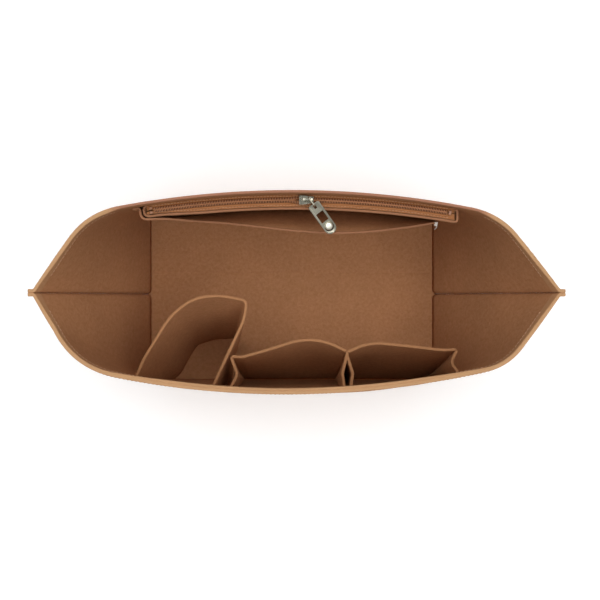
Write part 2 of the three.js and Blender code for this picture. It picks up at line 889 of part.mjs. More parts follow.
function bridgeOutline() {
  const half = bridgeLength / 2;
  const low = sliderCeiling + sliderPlate / 2;
  const under = sliderTop + bridgeClear;
  const top = under + bridgeThickness;
  const outline = new THREE.Shape();
  outline.moveTo(-half, low);
  outline.lineTo(-half, top - bridgeRound);
  outline.quadraticCurveTo(-half, top, -half + bridgeRound, top);
  outline.lineTo(half - bridgeRound, top);
  outline.quadraticCurveTo(half, top, half, top - bridgeRound);
  outline.lineTo(half, low);
  outline.lineTo(half - bridgeLeg, low);
  outline.lineTo(half - bridgeLeg, under - bridgeRound / 2);
  outline.quadraticCurveTo(half - bridgeLeg, under, half - bridgeLeg - bridgeRound / 2, under);
  outline.lineTo(-half + bridgeLeg + bridgeRound / 2, under);
  outline.quadraticCurveTo(-half + bridgeLeg, under, -half + bridgeLeg, under - bridgeRound / 2);
  outline.lineTo(-half + bridgeLeg, low);
  return outline;
}

function sliderBody() {
  const outer = flangeLine(sliderFlange);
  const cover = slab([...outer, ...mirrored(outer)], sliderCeiling, sliderTop);
  const soleHalf = coilHalfWidth + soleMargin;
  const soleEnd = sliderLength / 2;
  const sole = slab([
    [-soleEnd, -soleHalf + soleChamfer],
    [-soleEnd + soleChamfer, -soleHalf],
    [soleEnd - soleChamfer, -soleHalf],
    [soleEnd, -soleHalf + soleChamfer],
    [soleEnd, soleHalf - soleChamfer],
    [soleEnd - soleChamfer, soleHalf],
    [-soleEnd + soleChamfer, soleHalf],
    [-soleEnd, soleHalf - soleChamfer],
  ], sliderFloor - sliderPlate, sliderFloor);
  const inner = flangeLine(0);
  const skirtLow = zipHeight + tapeThickness / 2 + sliderRoom;
  const skirtHigh = sliderCeiling + sliderPlate / 2;
  const skirt = [...outer, ...inner.slice().reverse()];
  const backSkirt = slab(skirt, skirtLow, skirtHigh);
  const frontSkirt = slab(mirrored(skirt), skirtLow, skirtHigh);
  const post = slab([
    [-soleEnd, 0],
    [-soleEnd + sliderPost / 3, -postWidth / 2],
    [-soleEnd + sliderPost, 0],
    [-soleEnd + sliderPost / 3, postWidth / 2],
  ], sliderFloor - sliderPlate / 2, skirtHigh);
  const bridge = new THREE.ExtrudeGeometry(bridgeOutline(), {
    depth: bridgeWidth,
    bevelEnabled: false,
    curveSegments: 4,
  });
  bridge.rotateX(Math.PI / 2);
  bridge.translate(bridgeAhead, bridgeWidth / 2, 0);
  const body = [cover, sole, backSkirt, frontSkirt, post, bridge]
    .map(toManifold)
    .reduce((joined, piece) => joined.add(piece));
  return toGeometry(body);
}

// Puller: each piece is made along +X from the axis that it swings about

const pivotHeight = sliderTop + bridgeClear + bridgeThickness / 2;

function pullLink() {
  const sections = [];
  const centres = [0, linkLength];
  for (const [end, centre] of centres.entries()) {
    for (let k = 0; k <= linkSteps; k += 1) {
      const turn = Math.PI / 2 + end * Math.PI + (k / linkSteps) * Math.PI;
      const out = new THREE.Vector3(Math.cos(turn), 0, Math.sin(turn));
      const middle = out.clone().multiplyScalar(linkRadius);
      middle.x += centre;
      sections.push(wireSection(middle, out));
    }
  }
  return loft(sections, true);
}

function wireSection(middle, out) {
  const side = new THREE.Vector3(0, 1, 0);
  return Array.from({ length: wireSides }, (_, k) => {
    const turn = (k / wireSides) * 2 * Math.PI;
    return middle.clone()
      .addScaledVector(out, Math.cos(turn) * linkWire / 2)
      .addScaledVector(side, Math.sin(turn) * linkWire / 2);
  });
}

const plateStart = -pullEyeRim / 2;
const studAt = plateStart + pullLength - pullWidth / 2 - studSetBack;

function plateOutline(inset) {
  const half = pullWidth / 2 - inset;
  const start = plateStart + inset;
  const round = plateStart + pullLength - pullWidth / 2;
  const soft = pullCornerRadius - inset / 2;
  const outline = new THREE.Path();
  outline.moveTo(start + soft, -half);
  outline.lineTo(round, -half);
  outline.absarc(round, 0, half, -Math.PI / 2, Math.PI / 2, false);
  outline.lineTo(start + soft, half);
  outline.quadraticCurveTo(start, half, start, half - soft);
  outline.lineTo(start, -half + soft);
  outline.quadraticCurveTo(start, -half, start + soft, -half);
  return outline.getPoints(6);
}

function rectangle(start, end, half) {
  return new THREE.Path([
    new THREE.Vector2(start, -half),
    new THREE.Vector2(end, -half),
    new THREE.Vector2(end, half),
    new THREE.Vector2(start, half),
  ]);
}

function pullPlate() {
  const eyeStart = plateStart + pullEyeRim;
  const windowHalf = pullWidth / 2 - pullRail - windowMargin;
  const holes = [
    rectangle(eyeStart, eyeStart + eyeLength, eyeWidth / 2),
    rectangle(plateStart + windowStart, plateStart + windowStart + windowLength, windowHalf),
    new THREE.Path().absarc(studAt, 0, shankDiameter / 2 + shankClearance, 0, Math.PI * 2, true),
  ];
  const web = new THREE.Shape(plateOutline(0));
  web.holes.push(...holes);
  const webDepth = pullThickness - pullRelief;
  const sheetMetal = new THREE.ExtrudeGeometry(web, {
    depth: webDepth,
    bevelEnabled: false,
    curveSegments: 6,
  });
  const rail = new THREE.Shape(plateOutline(0));
  rail.holes.push(new THREE.Path(plateOutline(pullRail)));
  const rails = new THREE.ExtrudeGeometry(rail, { depth: pullRelief * 2, bevelEnabled: false });
  rails.translate(0, 0, webDepth - pullRelief);
  const plate = toManifold(sheetMetal).add(toManifold(rails));
  return toGeometry(plate).translate(0, 0, -pullThickness / 2);
}

function pullStud() {
  const shank = shankDiameter / 2;
  const dome = studDiameter / 2;
  const low = -pullThickness / 2 - seatGap;
  const web = pullThickness / 2 - pullRelief + seatGap;
  const profile = [
    new THREE.Vector2(0, low - studCollar),
    new THREE.Vector2(dome - studCollar * 2, low - studCollar),
    new THREE.Vector2(dome - studCollar, low),
    new THREE.Vector2(shank, low),
    new THREE.Vector2(shank, web),
    new THREE.Vector2(dome, web),
    new THREE.Vector2(dome, web + studCollar),
  ];
  for (let k = 1; k <= domeSteps; k += 1) {
    const turn = (k / domeSteps) * Math.PI / 2;
    const rise = (studHeight - studCollar) * Math.sin(turn);
    const reach = k === domeSteps ? 0 : (dome - studCollar / 2) * Math.cos(turn);
    profile.push(new THREE.Vector2(reach, web + studCollar + rise));
  }
  const stud = new THREE.LatheGeometry(profile, studSides);
  stud.rotateX(Math.PI / 2);
  return stud.translate(studAt, 0, 0);
}

// Assembly

const insert = new THREE.Group();

function add(name, geometry, material, parent = insert) {
  const mesh = new THREE.Mesh(geometry, material);
  mesh.name = name;
  parent.add(mesh);
}

add("base_panel", basePanel(), felt(feltColour));
add("front_panel", wallSolid(frontWall, fullHem), felt(feltColour));
add("back_panel", wallSolid(backWall, hemBesideZip), felt(feltColour));
add("bottle_pocket", bottlePocket(), felt(pocketColour));
for (const name of ["a", "b"]) {
  add(`pocket_${name}_face`, pocketFace(name), felt(pocketColour));
  add(`pocket_${name}_gusset_left`, pocketGusset(name, 1), felt(pocketColour));
  add(`pocket_${name}_gusset_right`, pocketGusset(name, -1), felt(pocketColour));
}
add("zip_pocket_panel", zipPocketPanel(), felt(pocketColour));
add("slip_pocket_panel", slipPocketPanel(), felt(pocketColour));
add("zip_tape_back", zipTape(1), nylon(tapeColour));
add("zip_tape_front", zipTape(-1), nylon(tapeColour));
add("zip_coil_back", zipCoil(1), nylon(coilColour));
add("zip_coil_front", zipCoil(-1), nylon(coilColour));
const stopAside = coilHalfWidth + openParting - stopWidth / 2;
add("top_stop_back", zipStop(zipLeftX + stopLength / 2, stopAside, stopWidth), nickel());
add("top_stop_front", zipStop(zipLeftX + stopLength / 2, -stopAside, stopWidth), nickel());
add("bottom_stop", zipStop(zipRightX - stopLength / 2, 0, coilHalfWidth * 2), nickel());

const slider = new THREE.Group();
const sliderPlace = zipPlace(sliderAngle, 0, 0);
slider.position.copy(sliderPlace);
slider.rotation.z = -sliderAngle;
insert.add(slider);
add("slider_body", sliderBody(), nickel(), slider);

const heading = new THREE.Group();
heading.position.set(bridgeAhead + pivotAhead, 0, pivotHeight);
heading.rotation.z = pullHeading * degree + sliderAngle;
slider.add(heading);
const link = new THREE.Group();
link.rotation.y = linkDroop * degree;
heading.add(link);
add("pull_link", pullLink(), nickel(), link);
const plate = new THREE.Group();
plate.position.x = linkLength;
plate.rotation.y = (pullDroop - linkDroop) * degree;
link.add(plate);
add("pull_plate", pullPlate(), nickel(), plate);
add("pull_stud", pullStud(), nickel(), plate);

export default insert;
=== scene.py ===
# %% [markdown]
# # A felt organizer insert for a large handbag
#
# The real thing is an open tub of thick pressed felt, sewn from a few flat cut pieces.
# It has a bottle loop, two bellows pockets, a slip pocket and a zipped pocket inside.
# We look straight down into it. The solid model already says where everything is, so
# this lesson loads it as a fixed frame and dresses it: soft felt, thread, tape and metal.

# %% Load the frame
import bmesh
import bpy
import numpy as np
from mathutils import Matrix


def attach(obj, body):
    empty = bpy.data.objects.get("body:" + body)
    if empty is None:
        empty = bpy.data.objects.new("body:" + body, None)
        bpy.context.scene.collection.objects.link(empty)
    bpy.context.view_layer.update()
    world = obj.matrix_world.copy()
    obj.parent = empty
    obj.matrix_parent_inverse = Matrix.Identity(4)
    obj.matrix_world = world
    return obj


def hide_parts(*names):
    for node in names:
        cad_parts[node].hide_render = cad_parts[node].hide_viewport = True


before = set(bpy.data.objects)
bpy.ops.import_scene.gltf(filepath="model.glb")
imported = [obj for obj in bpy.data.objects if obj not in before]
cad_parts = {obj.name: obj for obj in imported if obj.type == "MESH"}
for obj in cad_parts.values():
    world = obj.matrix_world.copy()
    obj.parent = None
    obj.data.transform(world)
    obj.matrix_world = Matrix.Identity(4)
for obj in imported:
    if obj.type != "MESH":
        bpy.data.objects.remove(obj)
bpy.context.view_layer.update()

MM = 0.001

# %% [markdown]
# ## Sizes
#
# Felt has a real thickness that the eye reads at every rim, so the sizes come first.
# They are the ones that the solid model was cut with, in millimetres.

# %% Sizes of the tub
WALL_FELT, POCKET_FELT = 3.0, 2.5
SEAT_GAP = 0.3
SEAM_ALLOWANCE = 4.0
HEM_DEPTH, HEM_FOLD, HEM_TRACE, HEM_RUN_OUT = 8.0, 2.0, 0.08, 18.0
FOOT_TRACE, FOOT_LIP = 0.5, 1.0
LEAST_BEND = 1.0
BASE_LENGTH, BASE_HALF_DEPTH, BASE_CORNER, BASE_SET_LEFT = 280.0, 86.0, 12.0, 6.0
WALL_HEIGHT, RIM_HALF_LENGTH, SEAM_BEND = 181.0, 214.4, 1.8
FRONT_RIM = {"left": (-0.84, 0.706), "bow": (-0.006, 1.123), "right": (0.793, 0.69),
             "bends": (0.364, 0.252)}
BACK_RIM = {"left": (-0.791, 0.746), "bow": (-0.001, 1.105), "right": (0.761, 0.736),
            "bends": (0.322, 0.322)}
FLOOR_TOP = WALL_FELT
WALL_FOOT = FLOOR_TOP + SEAT_GAP
SEAM_SLIT = 0.04
SEAM_PLANE = WALL_FELT + SEAM_SLIT / 2
BASE_LEFT = -BASE_LENGTH / 2 - BASE_SET_LEFT
BASE_RIGHT = BASE_LENGTH / 2 - BASE_SET_LEFT
print(f"base {BASE_LENGTH:.0f} x {2 * BASE_HALF_DEPTH:.0f} mm, walls {WALL_HEIGHT:.0f} mm up")

# %% [markdown]
# ## Plan lines
#
# Walls and pockets follow lines drawn in plan: straight runs joined by bends. Each bend
# is a parabola that touches both runs, which is how thick felt turns a corner: tightest
# in the middle, easing out on both sides.

# %% Bends and ramps
def ramp(share):
    """Eases from 0 to 1: 3 s^2 - 2 s^3, held at both ends."""
    held = np.clip(share, 0, 1)
    return held * held * (3 - 2 * held)


def unit(vectors):
    """Each vector divided by its own length."""
    return vectors / np.linalg.norm(vectors, axis=-1, keepdims=True)


def rounded_line(corners, counts):
    """Points and headings of a line through corners (x, y, radius).

    A run is A + t (B - A). A bend is (1-t)^2 S + 2 t (1-t) C + t^2 E from tangent point S
    to E about corner C. A radius of None bows the line along all of both its sides.
    """
    at = np.array([c[:2] for c in corners], float)
    cuts = np.zeros(len(at))
    for k in range(1, len(at) - 1):
        back, on = at[k - 1] - at[k], at[k + 1] - at[k]
        cosine = back @ on / (np.linalg.norm(back) * np.linalg.norm(on))
        if corners[k][2] is not None:
            bend = corners[k][2] * np.tan((np.pi - np.arccos(cosine)) / 2)
            cuts[k] = max(bend, LEAST_BEND)
    pieces, start, step = [], at[0], 0
    for k in range(1, len(at) - 1):
        back, on = at[k - 1] - at[k], at[k + 1] - at[k]
        bowed = corners[k][2] is None
        before = np.linalg.norm(back) - cuts[k - 1] if bowed else cuts[k]
        after = np.linalg.norm(on) - cuts[k + 1] if bowed else cuts[k]
        s, e = at[k] + unit(back) * before, at[k] + unit(on) * after
        if not bowed and counts[step]:
            t = np.arange(counts[step])[:, None] / counts[step]
            pieces.append((start + t * (s - start), (s - start) + 0 * t))
        t = np.arange(counts[step + 1])[:, None] / counts[step + 1]
        pieces.append(((1 - t) ** 2 * s + 2 * t * (1 - t) * at[k] + t ** 2 * e,
                       2 * (1 - t) * (at[k] - s) + 2 * t * (e - at[k])))
        start, step = e, step + 2
    t = np.linspace(0, 1, counts[step] + 1)[:, None]
    pieces.append((start + t * (at[-1] - start), (at[-1] - start) + 0 * t))
    return np.concatenate([p for p, _ in pieces]), unit(np.concatenate([w for _, w in pieces]))


# %% [markdown]
# ## Closed surfaces
#
# All soft pieces are profiles carried along a path. The profile is a closed loop, so the
# surface is a tube with two end caps: a solid sheet with a real cut edge, and no seam to
# hide. A whole piece is one array of points, stations by profile by three.

# %% Faces between rings
def ring_quads(index):
    """Four-sided faces between neighbouring rows of point numbers, each row a closed loop."""
    aside = np.roll(index, -1, axis=1)
    return np.stack([index[:-1], aside[:-1], aside[1:], index[1:]], -1).reshape(-1, 4)


def faces_in(points, quads):
    """Whether faces point inwards. The sum of a . (b x c + c x d) over all quads is six
    times the volume, but for the small caps, and is then below zero. Corners are taken
    from the body's middle, because far from it the missing caps would count for more."""
    a, b, c, d = (points[quads[:, k]] - points.mean(0) for k in range(4))
    return np.einsum("ij,ij->", a, np.cross(b, c) + np.cross(c, d)) < 0


def linked(name, data):
    """An object in the scene, at the origin."""
    made = bpy.data.objects.new(name, data)
    bpy.context.scene.collection.objects.link(made)
    return made


# %% From an array of points to a mesh
def mesh_from_rings(name, rings, looped=False, **marks):
    """One closed body from rings[station, profile point, xyz] in millimetres.

    marks are values per point, such as where a rim is painted lighter or darker as light and
    shade.
    """
    stations, around = rings.shape[:2]
    index = np.arange(stations * around).reshape(stations, around)
    quads = ring_quads(np.concatenate([index, index[:1]]) if looped else index)
    points = rings.reshape(-1, 3)
    caps = [] if looped else [index[0][::-1], index[-1]]
    if faces_in(points, quads):
        quads, caps = quads[:, ::-1], [cap[::-1] for cap in caps]
    mesh = bpy.data.meshes.new(name)
    mesh.from_pydata((points * MM).tolist(), [], quads.tolist() + [c.tolist() for c in caps])
    smooth = np.ones(len(mesh.polygons), bool)
    smooth[len(quads):] = False
    mesh.polygons.foreach_set("use_smooth", smooth)
    for mark, values in marks.items():
        field = mesh.attributes.new(mark, "FLOAT", "POINT")
        field.data.foreach_set("value", np.broadcast_to(values, rings.shape[:2]).ravel())
    mesh.update()
    print(name, len(mesh.polygons), "faces")
    return linked(name, mesh)


def dress(piece, material, body, slot, *nodes):
    """Gives a piece its finish and its body, and hides the solids it stands for. slot is not used.
    """
    piece.data.materials.clear()
    piece.data.materials.append(material)
    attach(piece, body)
    if nodes:
        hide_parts(*nodes)
    return piece


# %% [markdown]
# ## How felt gives
#
# Felt is never dead flat. A few slow waves, worked out from the place in the tub and
# nowhere near the zip, move every piece on a wall together, so that nothing parts at the
# seams. A much finer roughness is kept for the cut edges, where loose fibres stand up.

# %% Slow waves and fibre roughness
FRONT_WAVE, FRONT_RIPPLE, END_WAVE = 0.8, 0.4, 1.1


def settle(points):
    """Moves the front wall and the gussets by slow waves of about a millimetre, which
    die out towards the floor, the rim and the middle seams."""
    x, y, z = points[..., 0], points[..., 1], points[..., 2]
    high = np.sin(np.pi * np.clip((z - FLOOR_TOP) / WALL_HEIGHT, 0, 1))
    front = ramp((-y - 20) / 50) * high
    ends = ramp((np.abs(x) - 130) / 50) * high * ramp((np.abs(y) - 6) / 20)
    moved = points.copy()
    moved[..., 1] += front * (FRONT_WAVE * np.sin(x / 31 + 0.7) * np.cos(z / 47)
                              + FRONT_RIPPLE * np.sin(x / 13))
    moved[..., 0] += np.sign(x) * ends * END_WAVE * np.sin(y / 19 + 1.1) * np.cos(z / 40)
    return moved


random = np.random.default_rng(7)
FIBRE_WAVES = unit(random.normal(size=(24, 3))) * random.uniform(1.2, 6.0, (24, 1))
FIBRE_PHASES = random.uniform(0, 2 * np.pi, 24)


def fibres(points):
    """A rough field from 24 sine waves of 1 to 5 mm, of about unit size."""
    return np.sin(points @ FIBRE_WAVES.T + FIBRE_PHASES).sum(-1) / np.sqrt(12)


# %% [markdown]
# ## The tub's walls
#
# The front wall and the back wall are one strip of felt each, bent round the ends of the
# base and sewn together at the middle of both gussets. The strip leans out, and its rim
# is folded in and stitched down as a hem. Its profile therefore runs up the outside, over
# the fold and down the inside, with a notch where the two layers meet at the rim.

# %% Foot line and rim line of a wall
WALL_COUNTS = (3, 14, 40, 30, 0, 150, 0, 30, 40, 14, 3)
FRONT_BULGE, BULGE_TO, BULGE_EASE = 4.5, 134.0, 50.0
BULGE_TOP, BULGE_LOW = 0.97, 0.8


def wall(rim, side):
    """Foot and rim of one strip, station by station, with the way into the felt at each.
    The strip is equally high everywhere, so its rim stands at sqrt(H^2 - lean^2)."""
    end = RIM_HALF_LENGTH + SEAM_ALLOWANCE
    foot, foot_way = rounded_line([
        (BASE_LEFT - SEAM_ALLOWANCE, SEAM_PLANE, 0), (BASE_LEFT, SEAM_PLANE, SEAM_BEND),
        (BASE_LEFT, BASE_HALF_DEPTH, BASE_CORNER), (-BASE_SET_LEFT, BASE_HALF_DEPTH, None),
        (BASE_RIGHT, BASE_HALF_DEPTH, BASE_CORNER), (BASE_RIGHT, SEAM_PLANE, SEAM_BEND),
        (BASE_RIGHT + SEAM_ALLOWANCE, SEAM_PLANE, 0)], WALL_COUNTS)
    place = lambda share: (share[0] * RIM_HALF_LENGTH, share[1] * BASE_HALF_DEPTH)
    bends = [share * RIM_HALF_LENGTH for share in rim["bends"]]
    top, top_way = rounded_line([
        (-end, SEAM_PLANE, 0), (-RIM_HALF_LENGTH, SEAM_PLANE, SEAM_BEND),
        (*place(rim["left"]), bends[0]), (*place(rim["bow"]), None),
        (*place(rim["right"]), bends[1]), (RIM_HALF_LENGTH, SEAM_PLANE, SEAM_BEND),
        (end, SEAM_PLANE, 0)], WALL_COUNTS)
    lean = np.linalg.norm(top - foot, axis=1)
    bottom = np.column_stack([foot, np.full(len(foot), WALL_FOOT)])
    summit = np.column_stack([top, WALL_FOOT + np.sqrt(WALL_HEIGHT ** 2 - lean ** 2)])
    flat = lambda way: np.column_stack([way, np.zeros(len(way))])
    inward = unit(np.cross(flat(top_way), unit(summit - bottom)))
    inward_foot = unit(np.column_stack([foot_way[:, 1], -foot_way[:, 0], 0 * foot_way[:, 0]]))
    bulge = FRONT_BULGE * (side < 0) * ramp((BULGE_TO - np.abs(foot[:, 0])) / BULGE_EASE)
    return {"side": side, "bottom": bottom, "summit": summit, "inward": inward,
            "inward_foot": inward_foot, "bulge": bulge * (foot[:, 1] > BASE_HALF_DEPTH / 2)}


# %% Points and faces of a wall
def wall_points(tub, share, depth):
    """foot + (rim - foot) share, each end first moved inwards by depth. The front wall's
    middle bulges outwards by b sin(pi (share / top)^low), fullest below its middle and
    next to none at the doubled hem, as soft felt does behind full pockets."""
    low = tub["bottom"][:, None] + tub["inward_foot"][:, None] * depth[..., None]
    high = tub["summit"][:, None] + tub["inward"][:, None] * depth[..., None]
    out = tub["bulge"][:, None] * np.sin(
        np.pi * np.clip(share / BULGE_TOP, 0, 1) ** BULGE_LOW)
    points = low + (high - low) * share[..., None] - tub["inward"][:, None] * out[..., None]
    return points * np.array([1, tub["side"], 1])


FRONT, BACK = wall(FRONT_RIM, -1), wall(BACK_RIM, 1)
print("rims", FRONT["summit"][:, 2].max().round(1), BACK["summit"][:, 2].max().round(1), "mm up")


def wall_face(tub, x, height):
    """Distance of a wall's inner face from the middle plane, at a place and height."""
    if np.ndim(height):
        return np.array([wall_face(tub, *place) for place in zip(x, height)])
    share = (height - WALL_FOOT) / (tub["summit"][:, 2] - WALL_FOOT)
    line = wall_points(tub, share[:, None], np.full((len(share), 1), WALL_FELT))[:, 0]
    y = line[:, 1] * tub["side"]
    keep = y > SEAM_PLANE + WALL_FELT
    return np.interp(x, line[keep, 0], y[keep])


# %% Hem and rim of a wall
EDGE, NOTCH, NOTCH_WIDTH, LIP_HEIGHT, LIP_EASE = 1.0, 0.6, 0.5, 2.4, 3.8
ZIP_ENDS = (-0.427 * BASE_LENGTH, 0.4446 * BASE_LENGTH)


def hem_beside_zip(x):
    """How much of the back wall's hem is left at x: none behind the zip."""
    past = np.maximum(ZIP_ENDS[0] - HEM_RUN_OUT - x, x - ZIP_ENDS[1] - HEM_RUN_OUT)
    return ramp(np.maximum(past, 0) / HEM_RUN_OUT)


def from_seam(y):
    """Eases from 0 at the middle seams to 1, so that both walls meet there flat."""
    return ramp((y - SEAM_PLANE - WALL_FELT) / HEM_RUN_OUT)


HEM_PRESSED, HEM_FULL_TO, HEM_EASE = 0.5, 165.0, 70.0
# Shares of the painted rim colour: on the hem's inner band, and at the rims, where it paints light
# and shade.
HEM_BAND_LIGHT, RIM_TONE_SHARE = 0.5, 0.8
ZIP_PINCH, PINCH_DEPTH, PINCH_EASE = 0.8, 17.0, 7.0


def hem_thickness(tub, hem):
    """The fold is pressed nearly flat on the gussets, and full along the front."""
    across = ramp((HEM_FULL_TO - np.abs(tub["summit"][:, 0])) / HEM_EASE)
    fold = HEM_PRESSED + (HEM_FOLD - HEM_PRESSED) * across
    return HEM_TRACE + (fold - HEM_TRACE) * from_seam(tub["summit"][:, 1]) * hem


def zip_pinch(up):
    """How much thinner the stitched tape presses the wall's top."""
    return ZIP_PINCH * ramp((up - WALL_HEIGHT + PINCH_DEPTH) / PINCH_EASE)


# %% Profile of a wall
FOOT_ROWS = (0, 1.2, 2.4, 3.2, 4, 5, 6.2)
RIM_POINTS, HEM_POINTS, FACE_POINTS, CROWD = 12, 9, 34, 1.4
HEM_END_RISES, HEM_END_SHARES = np.array([0.35, 0.1, -0.2]), np.array([0.85, 0.5, 0.0])
HEM_STITCH_UP, HEM_STITCH_SINK, HEM_STITCH_SPREAD = 2.2, 0.45, 0.6
RIM_BAND, RIM_FIBRES, FIBRES_ASIDE, ZIP_RIM_SMOOTH = 1.6, 0.1, 0.6, 0.6


def wall_piece(name, tub, hem):
    """A wall as rings. up runs along the felt, depth into the tub.

    The rim is up = H - (r - sqrt(r^2 - o^2)), where o is how far a point lies into either
    rounded edge, less a notch N exp(-(d/w)^2) over the line between wall and hem.
    """
    stations = len(tub["bottom"])
    fold = hem_thickness(tub, hem)
    lip = FOOT_TRACE + (FOOT_LIP - FOOT_TRACE) * from_seam(tub["bottom"][:, 1])
    felt_part = np.concatenate([np.linspace(0, 1, RIM_POINTS) ** CROWD, np.ones(HEM_POINTS)])
    hem_part = 1 - (1 - np.arange(1, HEM_POINTS + 1) / HEM_POINTS) ** CROWD
    hem_part = np.concatenate([np.zeros(RIM_POINTS), hem_part])
    across = (felt_part * WALL_FELT)[None] + fold[:, None] * hem_part[None]
    into = np.maximum(0, np.maximum(EDGE - across, across - (WALL_FELT + fold[:, None] - EDGE)))
    top = WALL_HEIGHT - (EDGE - np.sqrt(np.maximum(EDGE ** 2 - into ** 2, 0)))
    top -= NOTCH * np.exp(-((across - WALL_FELT) / NOTCH_WIDTH) ** 2) * (fold[:, None] / HEM_FOLD)
    rise = np.concatenate([FOOT_ROWS, np.linspace(9, WALL_HEIGHT - 3, FACE_POINTS)])
    lip = lip[:, None] * (1 - ramp((rise - LIP_HEIGHT) / LIP_EASE))
    outer = (-lip, np.tile(rise, (stations, 1)))
    band = np.linspace(WALL_HEIGHT - EDGE - 0.8, WALL_HEIGHT - HEM_DEPTH + 0.6, HEM_POINTS)
    sewn = HEM_STITCH_SINK * np.exp(
        -((band - WALL_HEIGHT + HEM_DEPTH - HEM_STITCH_UP) / HEM_STITCH_SPREAD) ** 2)
    inner_band = (WALL_FELT + fold[:, None] * (1 - sewn), np.tile(band, (stations, 1)))
    step = HEM_END_RISES + WALL_HEIGHT - HEM_DEPTH
    turned = (WALL_FELT + fold[:, None] * HEM_END_SHARES, np.tile(step, (stations, 1)))
    fall = np.linspace(WALL_HEIGHT - HEM_DEPTH - 1.5, 0, FACE_POINTS)
    inner = (np.full((stations, FACE_POINTS), WALL_FELT), np.tile(fall, (stations, 1)))
    depth = np.concatenate([p[0] for p in (outer, (across,), inner_band, turned, inner)], 1)
    up = np.concatenate([outer[1], top, inner_band[1], turned[1], inner[1]], 1)
    unhemmed = (1 - hem * np.ones(stations))[:, None]
    depth = depth * (1 - unhemmed * zip_pinch(up) / WALL_FELT)
    rings = settle(wall_points(tub, up / WALL_HEIGHT, depth))
    edge = ramp((up - WALL_HEIGHT + RIM_BAND) / RIM_BAND)
    rough = fibres(rings) * edge * (1 - ZIP_RIM_SMOOTH * unhemmed) * RIM_FIBRES
    rings[..., 2] += rough
    rings[..., 1] += rough * FIBRES_ASIDE
    # The hem's inner band is painted half way to the paler rim colour: painted light.
    hem_band_light = np.repeat([0.0, HEM_BAND_LIGHT, HEM_BAND_LIGHT / 2, 0.0], [
        len(rise) + RIM_POINTS + HEM_POINTS, HEM_POINTS, 2, FACE_POINTS + 1])
    # The rim's top edge gets the paler rim colour, partly as a fresh cut and partly as painted
    # light.
    cut = np.maximum(RIM_TONE_SHARE * edge, hem_band_light * np.ones((stations, 1))) * (1 - unhemmed)
    # Beside the zip, where there is no hem, the rim is painted darker and redder instead: painted
    # shade.
    return mesh_from_rings(name, rings, cut=cut, pressed=RIM_TONE_SHARE * edge * unhemmed)


# %% [markdown]
# ## Cut sheets
#
# The pockets are single layers of thinner felt. A piece is known by the face that its
# plan line draws at every height. The sheet's other face lies one thickness along the
# normal, and the rim between them is a softly rounded cut: x = cos^0.6, z = sin^0.6.

# %% A sheet of felt from rows of points
RIM_ROUND, RIM_SQUARENESS, END_ROUND, END_THIN = 0.9, 0.6, 1.1, 0.25
SHEET_BAND, SHEET_FIBRES, SHEET_FIBRES_ASIDE = 1.8, 0.12, 0.06
CUTS = {}


def note_cut(name, rows):
    """Width, length and area of a sheet laid flat, from the quads of its own surface."""
    across, along = np.diff(rows, axis=1), np.diff(rows, axis=0)
    area = np.linalg.norm(np.cross(across[:-1], along[:, :-1]), axis=2).sum()
    width = np.linalg.norm(across, axis=2).sum(1).max()
    length = np.linalg.norm(along, axis=2).sum(0).max()
    CUTS[name] = np.array([width, length, np.clip(area / width / length, 0.3, 1.0)])


def felt_sheet(name, rows, thickness, side, pinch=0.0, paleness=1.0):
    """rows[level, station, xyz] is one face. The other is rows + n thickness side.

    pinch is what stitching at the rim takes from the thickness.
    """
    note_cut(name, rows)
    along = np.gradient(rows, axis=1)
    upward = unit(np.gradient(rows, axis=0))
    normal = unit(np.cross(along, upward)) * side
    length = np.cumsum(np.linalg.norm(np.diff(rows[-1], axis=0, prepend=rows[-1][:1]), axis=1))
    near_end = np.clip(np.minimum(length, length[-1] - length) / END_ROUND, 0, 1)
    full = END_THIN + (1 - END_THIN) * np.sqrt(1 - (1 - near_end) ** 2)
    below_rim = rows[-1:, :, 2:] - rows[..., 2:]
    thickness = thickness - pinch * ramp(1 - below_rim / PINCH_DEPTH * 2)
    middle = rows + normal * thickness / 2
    half = normal * thickness / 2 * full[None, :, None]
    turn = np.linspace(0, np.pi, 9)[:, None, None]
    soft = lambda v: np.sign(v) * np.abs(v) ** RIM_SQUARENESS
    rim = middle[-1] - upward[-1] * RIM_ROUND
    over = rim - half[-1] * soft(np.cos(turn)) + upward[-1] * RIM_ROUND * soft(np.sin(turn))
    face = (middle - half)[:-1]
    other = (middle + half)[:-1][::-1]
    rings = settle(np.concatenate([face, over, other]))
    height = rings[..., 2]
    edge = ramp((height - height.max(0) + SHEET_BAND) / RIM_BAND) * RIM_TONE_SHARE
    rings[..., 2] += fibres(rings) * edge * SHEET_FIBRES
    aside = fibres(rings[..., ::-1] * 1.3) * edge
    rings += SHEET_FIBRES_ASIDE * aside[..., None] * np.array([1, 1, 0])
    # The rim band is painted as light and shade: paleness of it in the rim colour, the rest in a
    # darker, redder painted shade.
    return mesh_from_rings(name, rings.transpose(1, 0, 2), cut=edge.T * paleness,
                           pressed=edge.T * (1 - paleness))


def level(x, height):
    """A level line: the same height at every x."""
    return height + 0 * x


def rows_of(line_at, bottom, top, counts, shares=None, lift=level):
    """Stacks the plan lines of all levels into rows. lift is the height of a line at x."""
    shares = np.linspace(0, 1, 26) if shares is None else shares
    rows = []
    for share in shares:
        height = bottom + (top - bottom) * share
        line, _ = rounded_line(line_at(share, height), counts)
        rows.append(np.column_stack([line, lift(line[:, 0], height)]))
    return np.array(rows)


# %% [markdown]
# ## The base
#
# The floor of the tub is one layer of the thick felt, whose edge stands 1 mm proud of the
# walls all round. It keeps the faint crease of having been folded flat. A plane with a
# thickness would do, but rows of points give it the rounded edge and a crease of its own.

# %% Base panel
CREASE_Y, CREASE_DEPTH, CREASE_WIDTH = 20.5, 0.35, 1.3
BASE_EDGE, BASE_THIN = 1.2, 0.2


